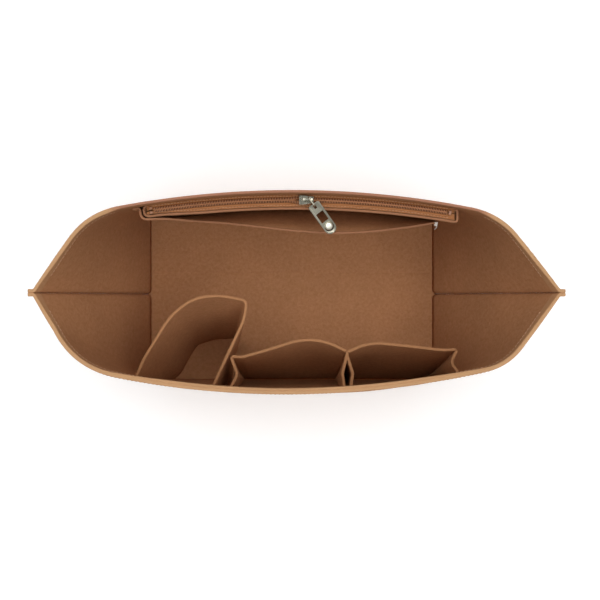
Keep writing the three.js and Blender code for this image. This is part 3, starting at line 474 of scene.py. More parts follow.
def base_piece():
    """Rows across the depth. Each is a loop: top from left to right, and bottom back.

    The half length at y is L - (R - sqrt(R^2 - q^2)), with q how far y is into a corner.
    """
    depth = BASE_HALF_DEPTH + FOOT_LIP
    radius = BASE_CORNER + FOOT_LIP
    half = BASE_LENGTH / 2 + FOOT_LIP
    edge = depth - BASE_EDGE * (1 - np.cos(np.linspace(0, np.pi / 2, 6)))
    y = np.unique(np.concatenate([edge, -edge, np.linspace(-depth + 2, depth - 2, 90),
                                  np.linspace(CREASE_Y - 4, CREASE_Y + 4, 25)]))
    q = np.maximum(np.abs(y) - depth + radius, 0)
    reach = half - (radius - np.sqrt(np.maximum(radius ** 2 - q ** 2, 0)))
    near_edge = np.maximum(np.abs(y) - depth + BASE_EDGE, 0) / BASE_EDGE
    rim = np.sqrt(np.maximum(1 - near_edge ** 2, 0))[:, None]
    across = np.linspace(-1, 1, 121)
    turn = np.linspace(np.pi / 2, -np.pi / 2, 9)[1:-1]
    middle = FLOOR_TOP / 2
    half_felt = middle * (BASE_THIN + (1 - BASE_THIN) * rim)
    top_x = -BASE_SET_LEFT + (reach[:, None] - BASE_EDGE) * across
    fold = CREASE_DEPTH * np.exp(-((y[:, None] - CREASE_Y) / CREASE_WIDTH) ** 2)
    top_z = middle + half_felt - fold + 0 * across
    side_x = np.cos(turn)[None] * BASE_EDGE + reach[:, None] - BASE_EDGE
    side_z = middle + half_felt * np.sin(turn)[None]
    x = np.concatenate([top_x, -BASE_SET_LEFT + side_x, top_x[:, ::-1],
                        -BASE_SET_LEFT - side_x[:, ::-1]], 1)
    z = np.concatenate([top_z, side_z, 2 * middle - top_z[:, ::-1] - fold, side_z[:, ::-1]], 1)
    rings = np.stack([x, np.broadcast_to(y[:, None], x.shape), z], -1)
    return mesh_from_rings("base_felt", rings, cut=0.0)


# %% [markdown]
# ## Pockets on the front wall
#
# The bottle loop is a tall band that stands off the wall, wide at the rim and pinched at
# the base. The two bellows pockets each have a face and two gussets. A gusset starts
# behind the face's end, folds inwards once, and ends on the wall. All are worked out as
# plan lines, whose corners move from their places at the foot to those at the rim. Places
# are shares of the base's length and half depth, so that they follow a change of size.

# %% Bottle loop
POCKET_FOOT, POCKET_FLANGE, POCKET_BEND, FLANGE_BEND = 6.0, 8.0, 3.4, 1.0
GUSSET_INSET, GUSSET_START, GUSSET_BEND = 0.3, 1.4, 9.0
POCKET_BOTTOM = FLOOR_TOP + POCKET_FOOT
BOTTLE_RIM, BELLOWS_RIM = 0.69 * WALL_HEIGHT, 0.685 * WALL_HEIGHT
BOTTLE_SEAMS = {"left": (-0.44, -0.497), "right": (-0.229, -0.254)}
BOTTLE_RIM_SHARES = np.array([[-0.474, -0.645], [-0.394, -0.223], [-0.3195, -0.026],
                              [-0.2355, -0.009], [-0.15, -0.061], [-0.1585, -0.26]])
BOTTLE_FOOT_SHARES = np.array([[-0.411, -0.878], [-0.386, -0.721], [-0.355, -0.552],
                               [-0.286, -0.483], [-0.214, -0.477], [-0.218, -0.721]])
BOTTLE_BENDS = np.array([0.3, 0.24, 0.15, 0.2, 0.025, 0.15]) * BASE_LENGTH
BOTTLE_FOOT_BEND = 0.35
PLAN = np.array([BASE_LENGTH, BASE_HALF_DEPTH])


def on_front(x, height):
    """The front wall's inner face, where a pocket is sewn to it."""
    return -wall_face(FRONT, x, height) + SEAT_GAP


def on_back(x, height):
    """The back wall's inner face, with the zip's pinch taken off."""
    return wall_face(BACK, x, height) - SEAT_GAP + zip_pinch(height)


def bottle_line(share, height):
    """The loop's corners in plan, foot + (rim - foot) share, between its two wall seams."""
    left, right = (BASE_LENGTH * (low + (high - low) * share)
                   for low, high in (BOTTLE_SEAMS["left"], BOTTLE_SEAMS["right"]))
    places = (BOTTLE_FOOT_SHARES + (BOTTLE_RIM_SHARES - BOTTLE_FOOT_SHARES) * share) * PLAN
    bends = np.maximum(BOTTLE_BENDS * (BOTTLE_FOOT_BEND + (1 - BOTTLE_FOOT_BEND) * share),
                       POCKET_BEND)
    return [(left, on_front(left, height), 0),
            *[(x, y, bend) for (x, y), bend in zip(places, bends)],
            (right, on_front(right, height), 0)]


# %% Bellows pockets
FACES = {
    "a": {"rim": np.array([[-0.2007, -0.621], [-0.1696, -0.627], [0.0486, -0.402],
                           [0.15, -0.558]]),
          "foot": np.array([[-0.196, -0.93], [-0.165, -0.93], [0.04, -0.93], [0.138, -0.93]]),
          "bends": (0.043, 0.21)},
    "b": {"rim": np.array([[0.1518, -0.566], [0.218, -0.467], [0.439, -0.556],
                           [0.484, -0.547]]),
          "foot": np.array([[0.154, -0.93], [0.22, -0.93], [0.41, -0.93], [0.45, -0.915]]),
          "bends": (0.18, 0.2)},
}
GUSSETS = {
    "a_left": ((-0.185, -0.95), (-0.1795, -0.82), -0.186, -0.2),
    "a_right": ((0.129, -0.95), (0.1325, -0.79), 0.131, 0.139),
    "b_left": ((0.166, -0.95), (0.1735, -0.79), 0.164, 0.1665),
    "b_right": ((0.438, -0.95), (0.464, -0.695), 0.444, 0.488),
}


def face_line(name, share):
    """A bellows face's corners in plan, foot + (rim - foot) share."""
    face = FACES[name]
    places = (face["foot"] + (face["rim"] - face["foot"]) * share) * PLAN
    bends = (0, *[share * BASE_LENGTH for share in face["bends"]], 0)
    return [(x, y, bend) for (x, y), bend in zip(places, bends)]


def gusset_line(name, hand, share, height):
    """hand is 1 where the pocket lies to the right of this gusset, and -1 to its left."""
    ends = face_line(name, share)
    x, y = ends[0 if hand > 0 else 3][:2]
    foot_fold, fold, foot_seam, seam = GUSSETS[name + ("_left" if hand > 0 else "_right")]
    fold = (np.array(foot_fold) * (1 - share) + np.array(fold) * share) * PLAN
    seam = (foot_seam + (seam - foot_seam) * share) * BASE_LENGTH
    return [(x + hand * GUSSET_INSET, y - GUSSET_START, 0), (*fold, GUSSET_BEND * share),
            (seam, on_front(seam, height), 0)]


# %% [markdown]
# ## The zip line
#
# The zip follows the back rim on the arc of one large circle through three points. All
# that belongs to it is placed by an angle on that circle and a distance aside. A free
# curve would look the same at rest, but a slider can only follow a circle as it travels.

# %% Circle of the zip
ZIP_HEIGHT = WALL_HEIGHT - 11.0
ZIP_OFFS = (4.5, 4.1, 4.1)
SLIDER_X = 0.0254 * BASE_LENGTH


def circle_through(a, b, c):
    """Centre (u, v) solves |p - a| = |p - b| = |p - c|."""
    ab, ac = b - a, c - a
    lead = np.array([ab, ac]) * 2
    centre = np.linalg.solve(lead, [ab @ ab, ac @ ac])
    return a + centre, np.linalg.norm(centre)


zip_xs = (ZIP_ENDS[0], sum(ZIP_ENDS) / 2, ZIP_ENDS[1])
ZIP_CENTRE, ZIP_RADIUS = circle_through(*[
    np.array([x, wall_face(BACK, x, ZIP_HEIGHT) - off]) for x, off in zip(zip_xs, ZIP_OFFS)])
print("zip radius", round(float(ZIP_RADIUS), 1), "mm")


def zip_place(x, aside, height):
    """The place a distance aside from the zip line, on the ray that meets the line at x."""
    angle = np.arcsin((x - ZIP_CENTRE[0]) / ZIP_RADIUS)
    radius = ZIP_RADIUS + aside
    return np.stack(np.broadcast_arrays(ZIP_CENTRE[0] + radius * np.sin(angle),
                                        ZIP_CENTRE[1] + radius * np.cos(angle), height), -1)


# %% [markdown]
# ## The zip pocket and the slip pocket
#
# The zip pocket's panel lies near the back wall at its foot, and curves forwards to the
# zip that it hangs from. The slip pocket lies on it. Its lip gapes in a lens that is
# fullest right of the middle, belly = sin(pi s^1.45), and is drawn up at both ends. A
# simulated drape would crease where it likes, and the line of this lip is known.

# %% Sizes of both panels
COIL_HALF, TAPE_FRONT, TAPE_FRONT_LEFT, TAPE_WIDENING = 1.9, 4.0, 1.6, 45.0
ZIP_PANEL_FOOT, ZIP_FOOT_ROOM, END_ROOM, END_FLANGE = 12.0, 0.8, 3.5, 5.0
ZIP_PANEL_TOP = ZIP_HEIGHT - 0.4
PANEL_BOW, PANEL_STATIONS = 60.0, 15
SLIP_GAP, SLIP_FELT, SLIP_FOOT, SLIP_BELLY, SLIP_TURN, SLIP_WRAP = 0.2, 1.8, 9.0, 18.0, 7.0, 1.5
BELLY_LEAN, SLIP_STATIONS, SLIP_GAPE, PANEL_SET_BACK, PANEL_CORNER = 1.45, 23, 48.0, 0.8, 6.0
PANEL_CURVE, GAPE_CURVE = 2.2, 1.4
SLIP_RISES = ((24.0, 75.0), (12.0, 45.0))
SLIP_RIM, SLIP_RIGHT = ZIP_HEIGHT - 25.0, 0.386 * BASE_LENGTH
PANEL_PINCH = 0.6
PANEL_RIM_FELT = POCKET_FELT - PANEL_PINCH + SEAT_GAP
PANEL_EDGE, PANEL_BOTTOM = POCKET_FELT + END_ROOM, FLOOR_TOP + ZIP_PANEL_FOOT
SLIP_ROUND = ZIP_ENDS[0] - PANEL_EDGE - SLIP_FELT - SLIP_GAP


def tape_shown(x):
    """Width of the front tape between coil and felt. It narrows towards the left."""
    return TAPE_FRONT_LEFT + (TAPE_FRONT - TAPE_FRONT_LEFT) * ramp(
        (x - ZIP_ENDS[0]) / TAPE_WIDENING)


def lens(x):
    """How far the slip pocket gapes along its lip, from 0 at both ends to 1."""
    along = np.clip((x - SLIP_ROUND) / (SLIP_RIGHT + POCKET_FLANGE - SLIP_ROUND), 0, 1)
    return np.sin(np.pi * along ** BELLY_LEAN)


# %% The zip pocket's panel
def hanging_panel(x, height):
    """The panel's front face. It lies near the wall at its foot, and curves forwards to the
    zip as foot + (rim - foot) share^2.2."""
    share = (height - PANEL_BOTTOM) / (ZIP_PANEL_TOP - PANEL_BOTTOM)
    rim = zip_place(x, -(COIL_HALF + tape_shown(x) + POCKET_FELT), height)[..., 1]
    foot = on_back(x, height) - ZIP_FOOT_ROOM - POCKET_FELT
    return foot + (rim - foot) * np.maximum(share, 0) ** PANEL_CURVE


def panel_front(x, height):
    """The zip pocket's front face. Stitching sets it back a little near its rim."""
    set_back = PANEL_SET_BACK * ramp(1 - (ZIP_PANEL_TOP - height) / PINCH_DEPTH)
    return hanging_panel(x, height) + set_back


def zip_panel_line(share, height):
    """Out from the wall at the left, along the panel's front, and back to the wall."""
    left, right = ZIP_ENDS[0] - PANEL_EDGE, ZIP_ENDS[1] + PANEL_EDGE
    inner = left + (right - left) * np.arange(1, PANEL_STATIONS + 1) / (PANEL_STATIONS + 1)
    return [(left + END_FLANGE, on_back(left + END_FLANGE, height), 0),
            (left, on_back(left, height), POCKET_BEND),
            (left, panel_front(left, height), PANEL_CORNER),
            *[(x, panel_front(x, height), PANEL_BOW) for x in inner],
            (right, panel_front(right, height), POCKET_BEND),
            (right, on_back(right, height), POCKET_BEND),
            (right - END_FLANGE, on_back(right - END_FLANGE, height), 0)]


# %% The slip pocket
def slip_lift(x, height):
    """Both ends of the rim are drawn up by a rise r over a width w: z + r ramp(...) z / rim."""
    ends = (x - SLIP_ROUND, SLIP_RIGHT + POCKET_FLANGE - x)
    rise = sum(r * ramp(1 - inside / w) for inside, (r, w) in zip(ends, SLIP_RISES))
    return height + rise * height / SLIP_RIM


def slip_front(x, height):
    """The slip pocket lies on the panel, and its lip gapes: g (1 - (rim - z) / d)^1.4."""
    gape = SLIP_BELLY * np.clip(1 - (SLIP_RIM - height) / SLIP_GAPE, 0, 1) ** GAPE_CURVE
    return panel_front(x, slip_lift(x, height)) - SLIP_FELT - SLIP_GAP - lens(x) * gape


def slip_line(share, height):
    """From the wall round the panel's left end, then along the lip to the right seam."""
    clear = SLIP_FELT + SLIP_GAP
    seam = SLIP_ROUND - SLIP_WRAP
    flange = seam - END_FLANGE
    x = np.linspace(SLIP_ROUND, SLIP_RIGHT, SLIP_STATIONS + 2)[1:-1]
    ends = (SLIP_ROUND, SLIP_RIGHT, SLIP_RIGHT + POCKET_FLANGE)
    ends = [(at, slip_front(at, height)) for at in ends]
    lifted = slip_lift(SLIP_ROUND, height)
    return [(flange, on_back(flange, lifted) - clear, 0),
            (seam, on_back(seam, lifted) - clear, FLANGE_BEND),
            (*ends[0], SLIP_TURN),
            *[(*place, PANEL_BOW) for place in zip(x, slip_front(x, height))],
            (*ends[1], SLIP_TURN), (*ends[2], 0)]


# %% [markdown]
# ## The zip itself
#
# A coil zip is a nylon thread wound into a spring on each tape, about 1.3 mm a turn.
# Flattened heads hook into each other. In the slider they part round its post, and on its
# left they stand a little looser. Each coil is one tube swept along a squashed helix,
# because separate teeth would lose the legs that run under the heads.

# %% Parting of the rows and the coils
OPEN_PARTING, MOUTH_PARTING, MOUTH_TAPER = 0.15, 1.2, 9.0
SLIDER_LENGTH, SLIDER_POST, SLIDER_ROOM = 11.6, 3.0, 0.25
TAPE_THICKNESS, TAPE_EDGE, TAPE_LEG, TAPE_RUN_ON = 0.6, 0.35, 9.0, 2.6
COIL_BOTTOM = ZIP_HEIGHT + TAPE_THICKNESS / 2 + SEAT_GAP
STOP_LENGTH = 2.4
COIL_PITCH, COIL_WIRE, COIL_TALL, COIL_REACH = 1.3, 0.25, 1.4, 0.55
COIL_POINTS, COIL_SIDES, COIL_LEAN, HEAD_BREADTH, STOP_ROOM = 14, 6, 0.2, 0.7, 0.6
COIL_STARTS = ZIP_ENDS[0] + STOP_LENGTH + STOP_ROOM
COIL_ENDS = ZIP_ENDS[1] - STOP_LENGTH - STOP_ROOM


def row_parting(x):
    """How far a row of teeth stands off the zip line at x."""
    mouth = SLIDER_X - SLIDER_LENGTH / 2
    throat = mouth + SLIDER_POST
    closing = 1 - ramp((x - throat) / (SLIDER_LENGTH - SLIDER_POST - SLIDER_ROOM))
    opened = OPEN_PARTING + (MOUTH_PARTING - OPEN_PARTING) * ramp(1 - (mouth - x) / MOUTH_TAPER)
    return np.where(x > throat, MOUTH_PARTING * closing, opened)


def tube(line, radius, sides, side_on=None):
    """Rings of a round tube: p + r (cos a n + sin a b), with n near a steady direction."""
    way = unit(np.gradient(line, axis=0))
    steady = np.array([0.0, 0.0, 1.0]) if side_on is None else side_on
    b = unit(np.cross(way, steady))
    n = np.cross(b, way)
    a = np.linspace(0, 2 * np.pi, sides, endpoint=False)
    radius = np.broadcast_to(radius, len(line))[:, None, None]
    return line[:, None] + radius * (np.cos(a)[None, :, None] * n[:, None]
                                     + np.sin(a)[None, :, None] * b[:, None])


# %% A coil
def coil_piece(name, hand):
    """Helix in the frame of the zip: x = pitch (t + 0.2 sin(2 pi t)), which lays each lower
    leg under its upper one, aside = m + w cos(2 pi t) and z = h sin(2 pi t) / 2, with the
    cosine pushed outwards to make a broad head."""
    first = COIL_STARTS + (COIL_PITCH / 2 if hand > 0 else 0)
    turns = int((COIL_ENDS - first) / COIL_PITCH)
    t = np.arange(turns * COIL_POINTS + 1) / COIL_POINTS
    phase = 2 * np.pi * t
    x = first + COIL_PITCH * (t + COIL_LEAN * np.sin(phase))
    wave = np.sign(np.cos(phase)) * np.abs(np.cos(phase)) ** HEAD_BREADTH
    outer, inner = COIL_HALF - COIL_WIRE, -COIL_REACH
    aside = hand * (row_parting(x) + (outer + inner) / 2 - (outer - inner) / 2 * wave)
    z = COIL_BOTTOM + COIL_TALL / 2 + (COIL_TALL / 2 - COIL_WIRE) * np.sin(phase)
    line = zip_place(x, aside, z)
    return mesh_from_rings(name, tube(line, COIL_WIRE, COIL_SIDES, np.array([1.0, 0.0, 0.02])))


# %% A tape
TAPE_STATIONS, TAPE_POINTS, TAPE_SAG, SAG_FROM = 320, 16, 0.5, 0.35
COIL_SHADE_WIDTH, COIL_SHADE_EASE = 1.8, 0.5


def tape_piece(name, hand):
    """A woven strip: flat from the coil to its felt, then turned down along it. A mark gives
    the band under the coil, where shade is painted in."""
    x = np.linspace(ZIP_ENDS[0] - TAPE_RUN_ON, ZIP_ENDS[1] + TAPE_RUN_ON, TAPE_STATIONS)
    top, low = ZIP_HEIGHT + TAPE_THICKNESS / 2, ZIP_HEIGHT - TAPE_LEG
    edge = zip_place(x, 0, 0)[:, 1] + hand * (TAPE_EDGE + row_parting(x))
    felt_at = lambda z: (on_back(x, z) if hand > 0 else panel_front(x, z) + PANEL_RIM_FELT)
    wave = 0.12 * np.sin(x / 7.0) + 0.08 * np.sin(x / 3.1 + 1)
    share = np.linspace(0, 1, TAPE_POINTS)
    flat_y = edge[:, None] + (felt_at(top) - hand * 0.5 - edge)[:, None] * share
    sag = TAPE_SAG * np.sin(np.pi * np.clip((share - SAG_FROM) / (1 - SAG_FROM), 0, 1))
    sag = sag * (1 + wave[:, None])
    upper = np.stack([np.tile(x[:, None], TAPE_POINTS), flat_y, top - sag], -1)
    turn = np.stack([x, felt_at(top - 0.3) - hand * 0.12, np.full_like(x, top - 0.25)], -1)
    turn = turn[:, None]
    legs = [np.stack([x, felt_at(z) - hand * gap, np.full_like(x, z)], -1)[:, None] for z, gap in (
        (top - 1.2, 0), (low, 0), (low, TAPE_THICKNESS), (top - 1.4, TAPE_THICKNESS))]
    lower = upper[:, ::-1] - np.array([0, hand * 0.1, TAPE_THICKNESS])
    rings = np.concatenate([upper, turn, *legs, lower[:, 1:]], 1)
    width = np.linalg.norm(np.diff(rings, axis=1, prepend=rings[:, :1]), axis=2).cumsum(1)
    count = TAPE_POINTS + 1 + len(legs)
    under_side = width[:, TAPE_POINTS - 1::-1][:, :rings.shape[1] - count]
    across = np.concatenate([width[:, :count], under_side], 1)
    shaded = ramp((COIL_SHADE_WIDTH - across) / COIL_SHADE_EASE)
    shaded *= (ramp(x - COIL_STARTS) * ramp(COIL_ENDS - x))[:, None]
    return mesh_from_rings(name, rings, across=across, along=x[:, None], bed=shaded)


# %% [markdown]
# ## Thread
#
# The hem, the end seams, the zip and the slip pocket show runs of short stitches. One
# stitch is a bent capsule that rises from one needle hole and dives into the next. All
# stitches of a run are worked out at once and share one mesh.

# %% Runs of stitches
THREAD_RADIUS, THREAD_SIDES, THREAD_RISE, THREAD_SINK = 0.22, 6, 1.2, 0.3


def stitch_run(line, normals, pitch, length, radius=THREAD_RADIUS):
    """Rings of capsules along a line. A capsule's centre is c + T a L/2 + n (1 - a^2) h,
    and its radius is r sqrt(1 - 0.9 a^4)."""
    steps = np.linalg.norm(np.diff(line, axis=0), axis=1)
    at = np.concatenate([[0], np.cumsum(steps)])
    places = np.arange(pitch / 2, at[-1], pitch)
    pick = lambda values, s: np.stack([np.interp(s, at, values[:, k]) for k in range(3)], -1)
    start, end = pick(line, places - length / 2), pick(line, places + length / 2)
    n = unit(pick(normals, places))
    way = unit(end - start)
    b = np.cross(way, n)
    a = np.linspace(-1, 1, 6)
    spine = ((start + end) / 2)[:, None] + (end - start)[:, None] / 2 * a[:, None]
    bow = (1 - a ** 2) * radius * THREAD_RISE - radius * THREAD_SINK
    spine = spine + n[:, None] * bow[:, None]
    turn = np.linspace(0, 2 * np.pi, THREAD_SIDES, endpoint=False)
    fat = radius * np.sqrt(1 - 0.9 * a ** 4)
    ring = np.cos(turn)[:, None] * n[:, None, None] + np.sin(turn)[:, None] * b[:, None, None]
    return spine[:, :, None] + fat[None, :, None, None] * ring


def thread_piece(name, runs):
    """Many capsules as one mesh, each closed by its two hexagons."""
    rings = np.concatenate(runs)
    count, along, around = rings.shape[:3]
    index = np.arange(along * around).reshape(along, around)
    shift = (np.arange(count) * along * around)[:, None, None]
    quads = (ring_quads(index)[None] + shift).reshape(-1, 4)
    caps = (np.stack([index[0][::-1], index[-1]])[None] + shift).reshape(-1, around)
    if faces_in(rings[0].reshape(-1, 3), ring_quads(index)):
        quads, caps = quads[:, ::-1], caps[:, ::-1]
    mesh = bpy.data.meshes.new(name)
    mesh.from_pydata((rings.reshape(-1, 3) * MM).tolist(), [], quads.tolist() + caps.tolist())
    mesh.polygons.foreach_set("use_smooth", np.ones(len(mesh.polygons), bool))
    print(name, count, "stitches")
    return linked(name, mesh)


# %% [markdown]
# ## Finishes
#
# Each finish starts from what the real one is. One helper turns a colour as a designer
# writes it into the linear values that a shader wants, and one adds a node with its
# settings and links. Painted pictures would need an unwrapped map for every sheet, so all
# patterns are worked out from a place in the object or from marks on the meshes.

# %% Colours and nodes
def linear(colour):
    """sRGB hex to linear: v / 12.92 below 0.04045, else ((v + 0.055) / 1.055)^2.4."""
    v = np.array([int(colour[k:k + 2], 16) for k in (1, 3, 5)]) / 255
    return (*np.where(v <= 0.04045, v / 12.92, ((v + 0.055) / 1.055) ** 2.4).tolist(), 1.0)


def feed(tree, node, inputs):
    """Sets each input to a number or colour, or links it to a socket or a node's first."""
    for name, value in inputs.items():
        if isinstance(value, bpy.types.Node):
            value = value.outputs[0]
        if isinstance(value, bpy.types.NodeSocket):
            tree.links.new(value, node.inputs[name])
        else:
            node.inputs[name].default_value = value


def add(tree, kind, inputs=None, **settings):
    """A new shader node with its settings and inputs."""
    made = tree.nodes.new(f"ShaderNode{kind}")
    for setting, value in settings.items():
        setattr(made, setting, value)
    feed(tree, made, inputs or {})
    return made


def new_material(name, **surface):
    """A material whose own sockets hold the constant values."""
    material = bpy.data.materials.new(name)
    material.use_nodes = True
    shader = material.node_tree.nodes["Principled BSDF"]
    for socket, value in surface.items():
        shader.inputs[socket.replace("_", " ")].default_value = value
    print("material", name)
    return material, material.node_tree, shader


# %% [markdown]
# ### Pressed polyester felt
#
# The felt is a mat of dyed fibres pressed with heat. Up close it is a tangle of lighter
# and darker clumps, with a soft bloom at grazing angles, and it has no gloss. Light and
# shade are painted on its rims by two marks on the meshes. One paints the top edges of the
# walls paler, partly as the paler middle of a fresh cut and partly as painted light, and
# the rims of the bottle loop and bellows pockets darker, as painted shade. The other paints
# the rims beside the zip and of the zip and slip pockets darker and redder, as painted
# shade. Real clumps are about 0.3 mm, too fine for this distance, so the pattern is drawn
# at 2 to 4 mm.

# %% Felt
def felt(name, deep, pale, cut_colour, pressed_colour):
    """Clumps mix two browns, a slow cloud shifts their value, and two marks paint light and shade
    on the rims.
    """
    material, tree, shader = new_material(
        name, Roughness=0.95, Specular_IOR_Level=0.1, Sheen_Weight=0.08, Sheen_Roughness=0.5,
        Sheen_Tint=linear("#c08e66"))
    place = add(tree, "TexCoord").outputs["Object"]
    clumps = add(tree, "TexNoise", {
        "Vector": place, "Scale": 330.0, "Detail": 5.0, "Roughness": 0.65, "Distortion": 0.6})
    cloud = add(tree, "TexNoise", {
        "Vector": place, "Scale": 16.0, "Detail": 3.0, "Roughness": 0.55})
    spread = add(tree, "MapRange", {"Value": clumps, "From Min": 0.3, "From Max": 0.7})
    body = add(tree, "Mix", {
        "Factor": spread, "A": linear(deep), "B": linear(pale)}, data_type="RGBA")
    patches = add(tree, "MapRange", {
        "Value": cloud, "From Min": 0.3, "From Max": 0.7, "To Min": 0.93, "To Max": 1.06})
    toned = add(tree, "HueSaturation", {"Value": patches, "Color": body.outputs["Result"]})
    shown = toned
    # Both marks paint light and shade on the rims: the first a rim colour, the second a darker
    # painted shade.
    for mark, colour in (("cut", cut_colour), ("pressed", pressed_colour)):
        share = add(tree, "Attribute", attribute_name=mark).outputs["Fac"]
        shown = add(tree, "Mix", {
            "Factor": share, "A": shown, "B": linear(colour)}, data_type="RGBA").outputs["Result"]
    tangle = add(tree, "TexNoise", {
        "Vector": place, "Scale": 1100.0, "Detail": 4.0, "Roughness": 0.7, "Distortion": 1.5})
    relief = add(tree, "Math", {0: tangle, 1: clumps}, operation="ADD")
    bump = add(tree, "Bump", {"Strength": 0.45, "Distance": 0.0004, "Height": relief})
    feed(tree, shader, {"Base Color": shown, "Normal": bump})
    return material


# The third colour is the rim colour: paler on the walls, partly a cut and partly painted light,
# and darker on the pockets as painted shade. The fourth is painted shade on rims.
WALL_MATERIAL = felt("pressed_felt_wall", "#a4744f", "#b6845e", "#ba936c", "#9d6e5a")
POCKET_MATERIAL = felt("pressed_felt_pocket", "#a57550", "#b8865f", "#a0734f", "#90644a")

# %% [markdown]
# ### Woven tape, nylon and thread
#
# The tape is polyester woven in fine ribs that run with the zip, drawn a little coarser
# than they are so that they show. Where it lies under the coil, shade is painted on it as a
# dark band. The coil is nylon, dyed to match, with a little gloss. The stops are brass under
# a lacquer of the same colour. The thread is spun polyester, a shade paler than the felt,
# and the bar tack's is undyed.

# %% Tape, coil and thread
RIB_MM, PICK_MM = 1.15, 0.9


def woven_tape(name, deep, pale, bed):
    """Ribs sin(2 pi across / rib) and picks sin(2 pi along / pick), both in millimetres."""
    material, tree, shader = new_material(
        name, Roughness=0.8, Specular_IOR_Level=0.3, Sheen_Weight=0.15, Sheen_Roughness=0.4)

    def wave(mark, length):
        place = add(tree, "Attribute", attribute_name=mark)
        turns = add(tree, "Math", {0: place.outputs["Fac"], 1: 2 * np.pi / length},
                    operation="MULTIPLY")
        return add(tree, "Math", {0: turns}, operation="SINE")

    ribs, picks = wave("across", RIB_MM), wave("along", PICK_MM)
    woven = add(tree, "Math", {0: picks, 1: 0.35, 2: ribs}, operation="MULTIPLY_ADD")
    tone = add(tree, "MapRange", {"Value": woven, "From Min": -1.3, "From Max": 1.3})
    colour = add(tree, "Mix", {
        "Factor": tone, "A": linear(deep), "B": linear(pale)}, data_type="RGBA")
    # Shade under the coil is painted as a dark colour on this band.
    shaded = add(tree, "Attribute", attribute_name="bed").outputs["Fac"]
    shown = add(tree, "Mix", {
        "Factor": shaded, "A": colour.outputs["Result"], "B": linear(bed)}, data_type="RGBA")
    bump = add(tree, "Bump", {"Strength": 0.5, "Distance": 0.00025, "Height": woven})
    feed(tree, shader, {"Base Color": shown.outputs["Result"], "Normal": bump})
    return material


def dyed(name, deep, pale, scale, **surface):
    """A plain dyed thread or nylon whose tone drifts between two colours."""
    material, tree, shader = new_material(name, **surface)
    place = add(tree, "TexCoord").outputs["Object"]
    drift = add(tree, "TexNoise", {"Vector": place, "Scale": scale, "Detail": 3.0})
    colour = add(tree, "Mix", {
        "Factor": drift, "A": linear(deep), "B": linear(pale)}, data_type="RGBA")
    bump = add(tree, "Bump", {"Strength": 0.3, "Distance": 0.0001, "Height": drift})
    feed(tree, shader, {"Base Color": colour.outputs["Result"], "Normal": bump})
    return material


# The last colour is the shade painted under the coil.
TAPE_MATERIAL = woven_tape("woven_polyester_tape", "#85502e", "#b07747", "#331c10")
COIL_MATERIAL = dyed("dyed_nylon_coil", "#b0714a", "#cc9062", 900.0, Roughness=0.42, IOR=1.53)
LACQUER_MATERIAL = dyed("lacquered_brass", "#8a5a3c", "#9c6a48", 500.0, Roughness=0.35, IOR=1.5)
THREAD_MATERIAL = dyed("spun_polyester_thread", "#b98c6a", "#d0a684", 2500.0, Roughness=0.7)
PALE_THREAD_MATERIAL = dyed("undyed_thread", "#cdc6bd", "#e2dcd4", 2500.0, Roughness=0.7)

# %% [markdown]
# ### Nickel plate
#
# Slider and puller are zinc castings with a polished nickel plate. Nickel is a warm grey
# metal. Handling leaves faint hairlines, which only roughen the gloss a little. The stud
# has a satin plate, which spreads the light, and its colour is painted paler than nickel,
# as light on it. A dark disc sits under it, shifted to one side, whose edge shows as a dark
# crescent: a painted shadow.

# %% Nickel
HAIRLINE_SCALE = (400.0, 4000.0, 2000.0)


def nickel_plate(name, colour, finest, roughest):
    """finest and roughest are the gloss between and in the hairlines."""
    material, tree, shader = new_material(name, Metallic=1.0, Base_Color=linear(colour))
    place = add(tree, "TexCoord").outputs["Object"]
    stretched = add(tree, "Mapping", {
        "Vector": place, "Rotation": (0.0, 0.0, np.radians(53)), "Scale": HAIRLINE_SCALE})
    hairlines = add(tree, "TexNoise", {
        "Vector": stretched, "Scale": 1.0, "Detail": 4.0, "Roughness": 0.7})
    gloss = add(tree, "MapRange", {
        "Value": hairlines, "From Min": 0.3, "From Max": 0.75, "To Min": finest,
        "To Max": roughest})
    bump = add(tree, "Bump", {"Strength": 0.12, "Distance": 0.00005, "Height": hairlines})
    feed(tree, shader, {"Roughness": gloss, "Normal": bump})
    return material


NICKEL_MATERIAL = nickel_plate("nickel_plated_zinc", "#b4b1a0", 0.07, 0.2)
# The stud's colour is painted paler than nickel: painted light on a satin plate.
STUD_MATERIAL = nickel_plate("satin_nickel_stud_painted_light", "#f2efde", 0.32, 0.45)
# A painted shadow: the dark disc under the stud.
STUD_SHADOW_MATERIAL = nickel_plate("painted_stud_shadow", "#24211c", 0.4, 0.6)

# %% [markdown]
# ## Sewing the tub
#
# The base and the two walls come first, and then all that is sewn to their inner faces.
# Every soft solid of the frame is replaced by its dressed piece.

# %% Base and walls
dress(base_piece(), WALL_MATERIAL, "insert", "wall_felt", "base_panel")
WALL_HEMS = ((FRONT, 1.0, "front"), (BACK, hem_beside_zip(BACK["summit"][:, 0]), "back"))
for tub, hem, word in WALL_HEMS:
    dress(wall_piece(f"{word}_felt", tub, hem), WALL_MATERIAL, "insert", "wall_felt",
          f"{word}_panel")

# %% Pockets
def pocket(name, line_at, top, counts, side, node, bottom=POCKET_BOTTOM, shares=None,
           thickness=POCKET_FELT, lift=level, **rim):
    """Rows from the plan lines, a sheet from the rows, and its finish."""
    rows = rows_of(line_at, bottom, top, counts, shares, lift)
    piece = felt_sheet(name, rows, thickness, side, **rim)
    return dress(piece, POCKET_MATERIAL, "insert", "pocket_felt", node)


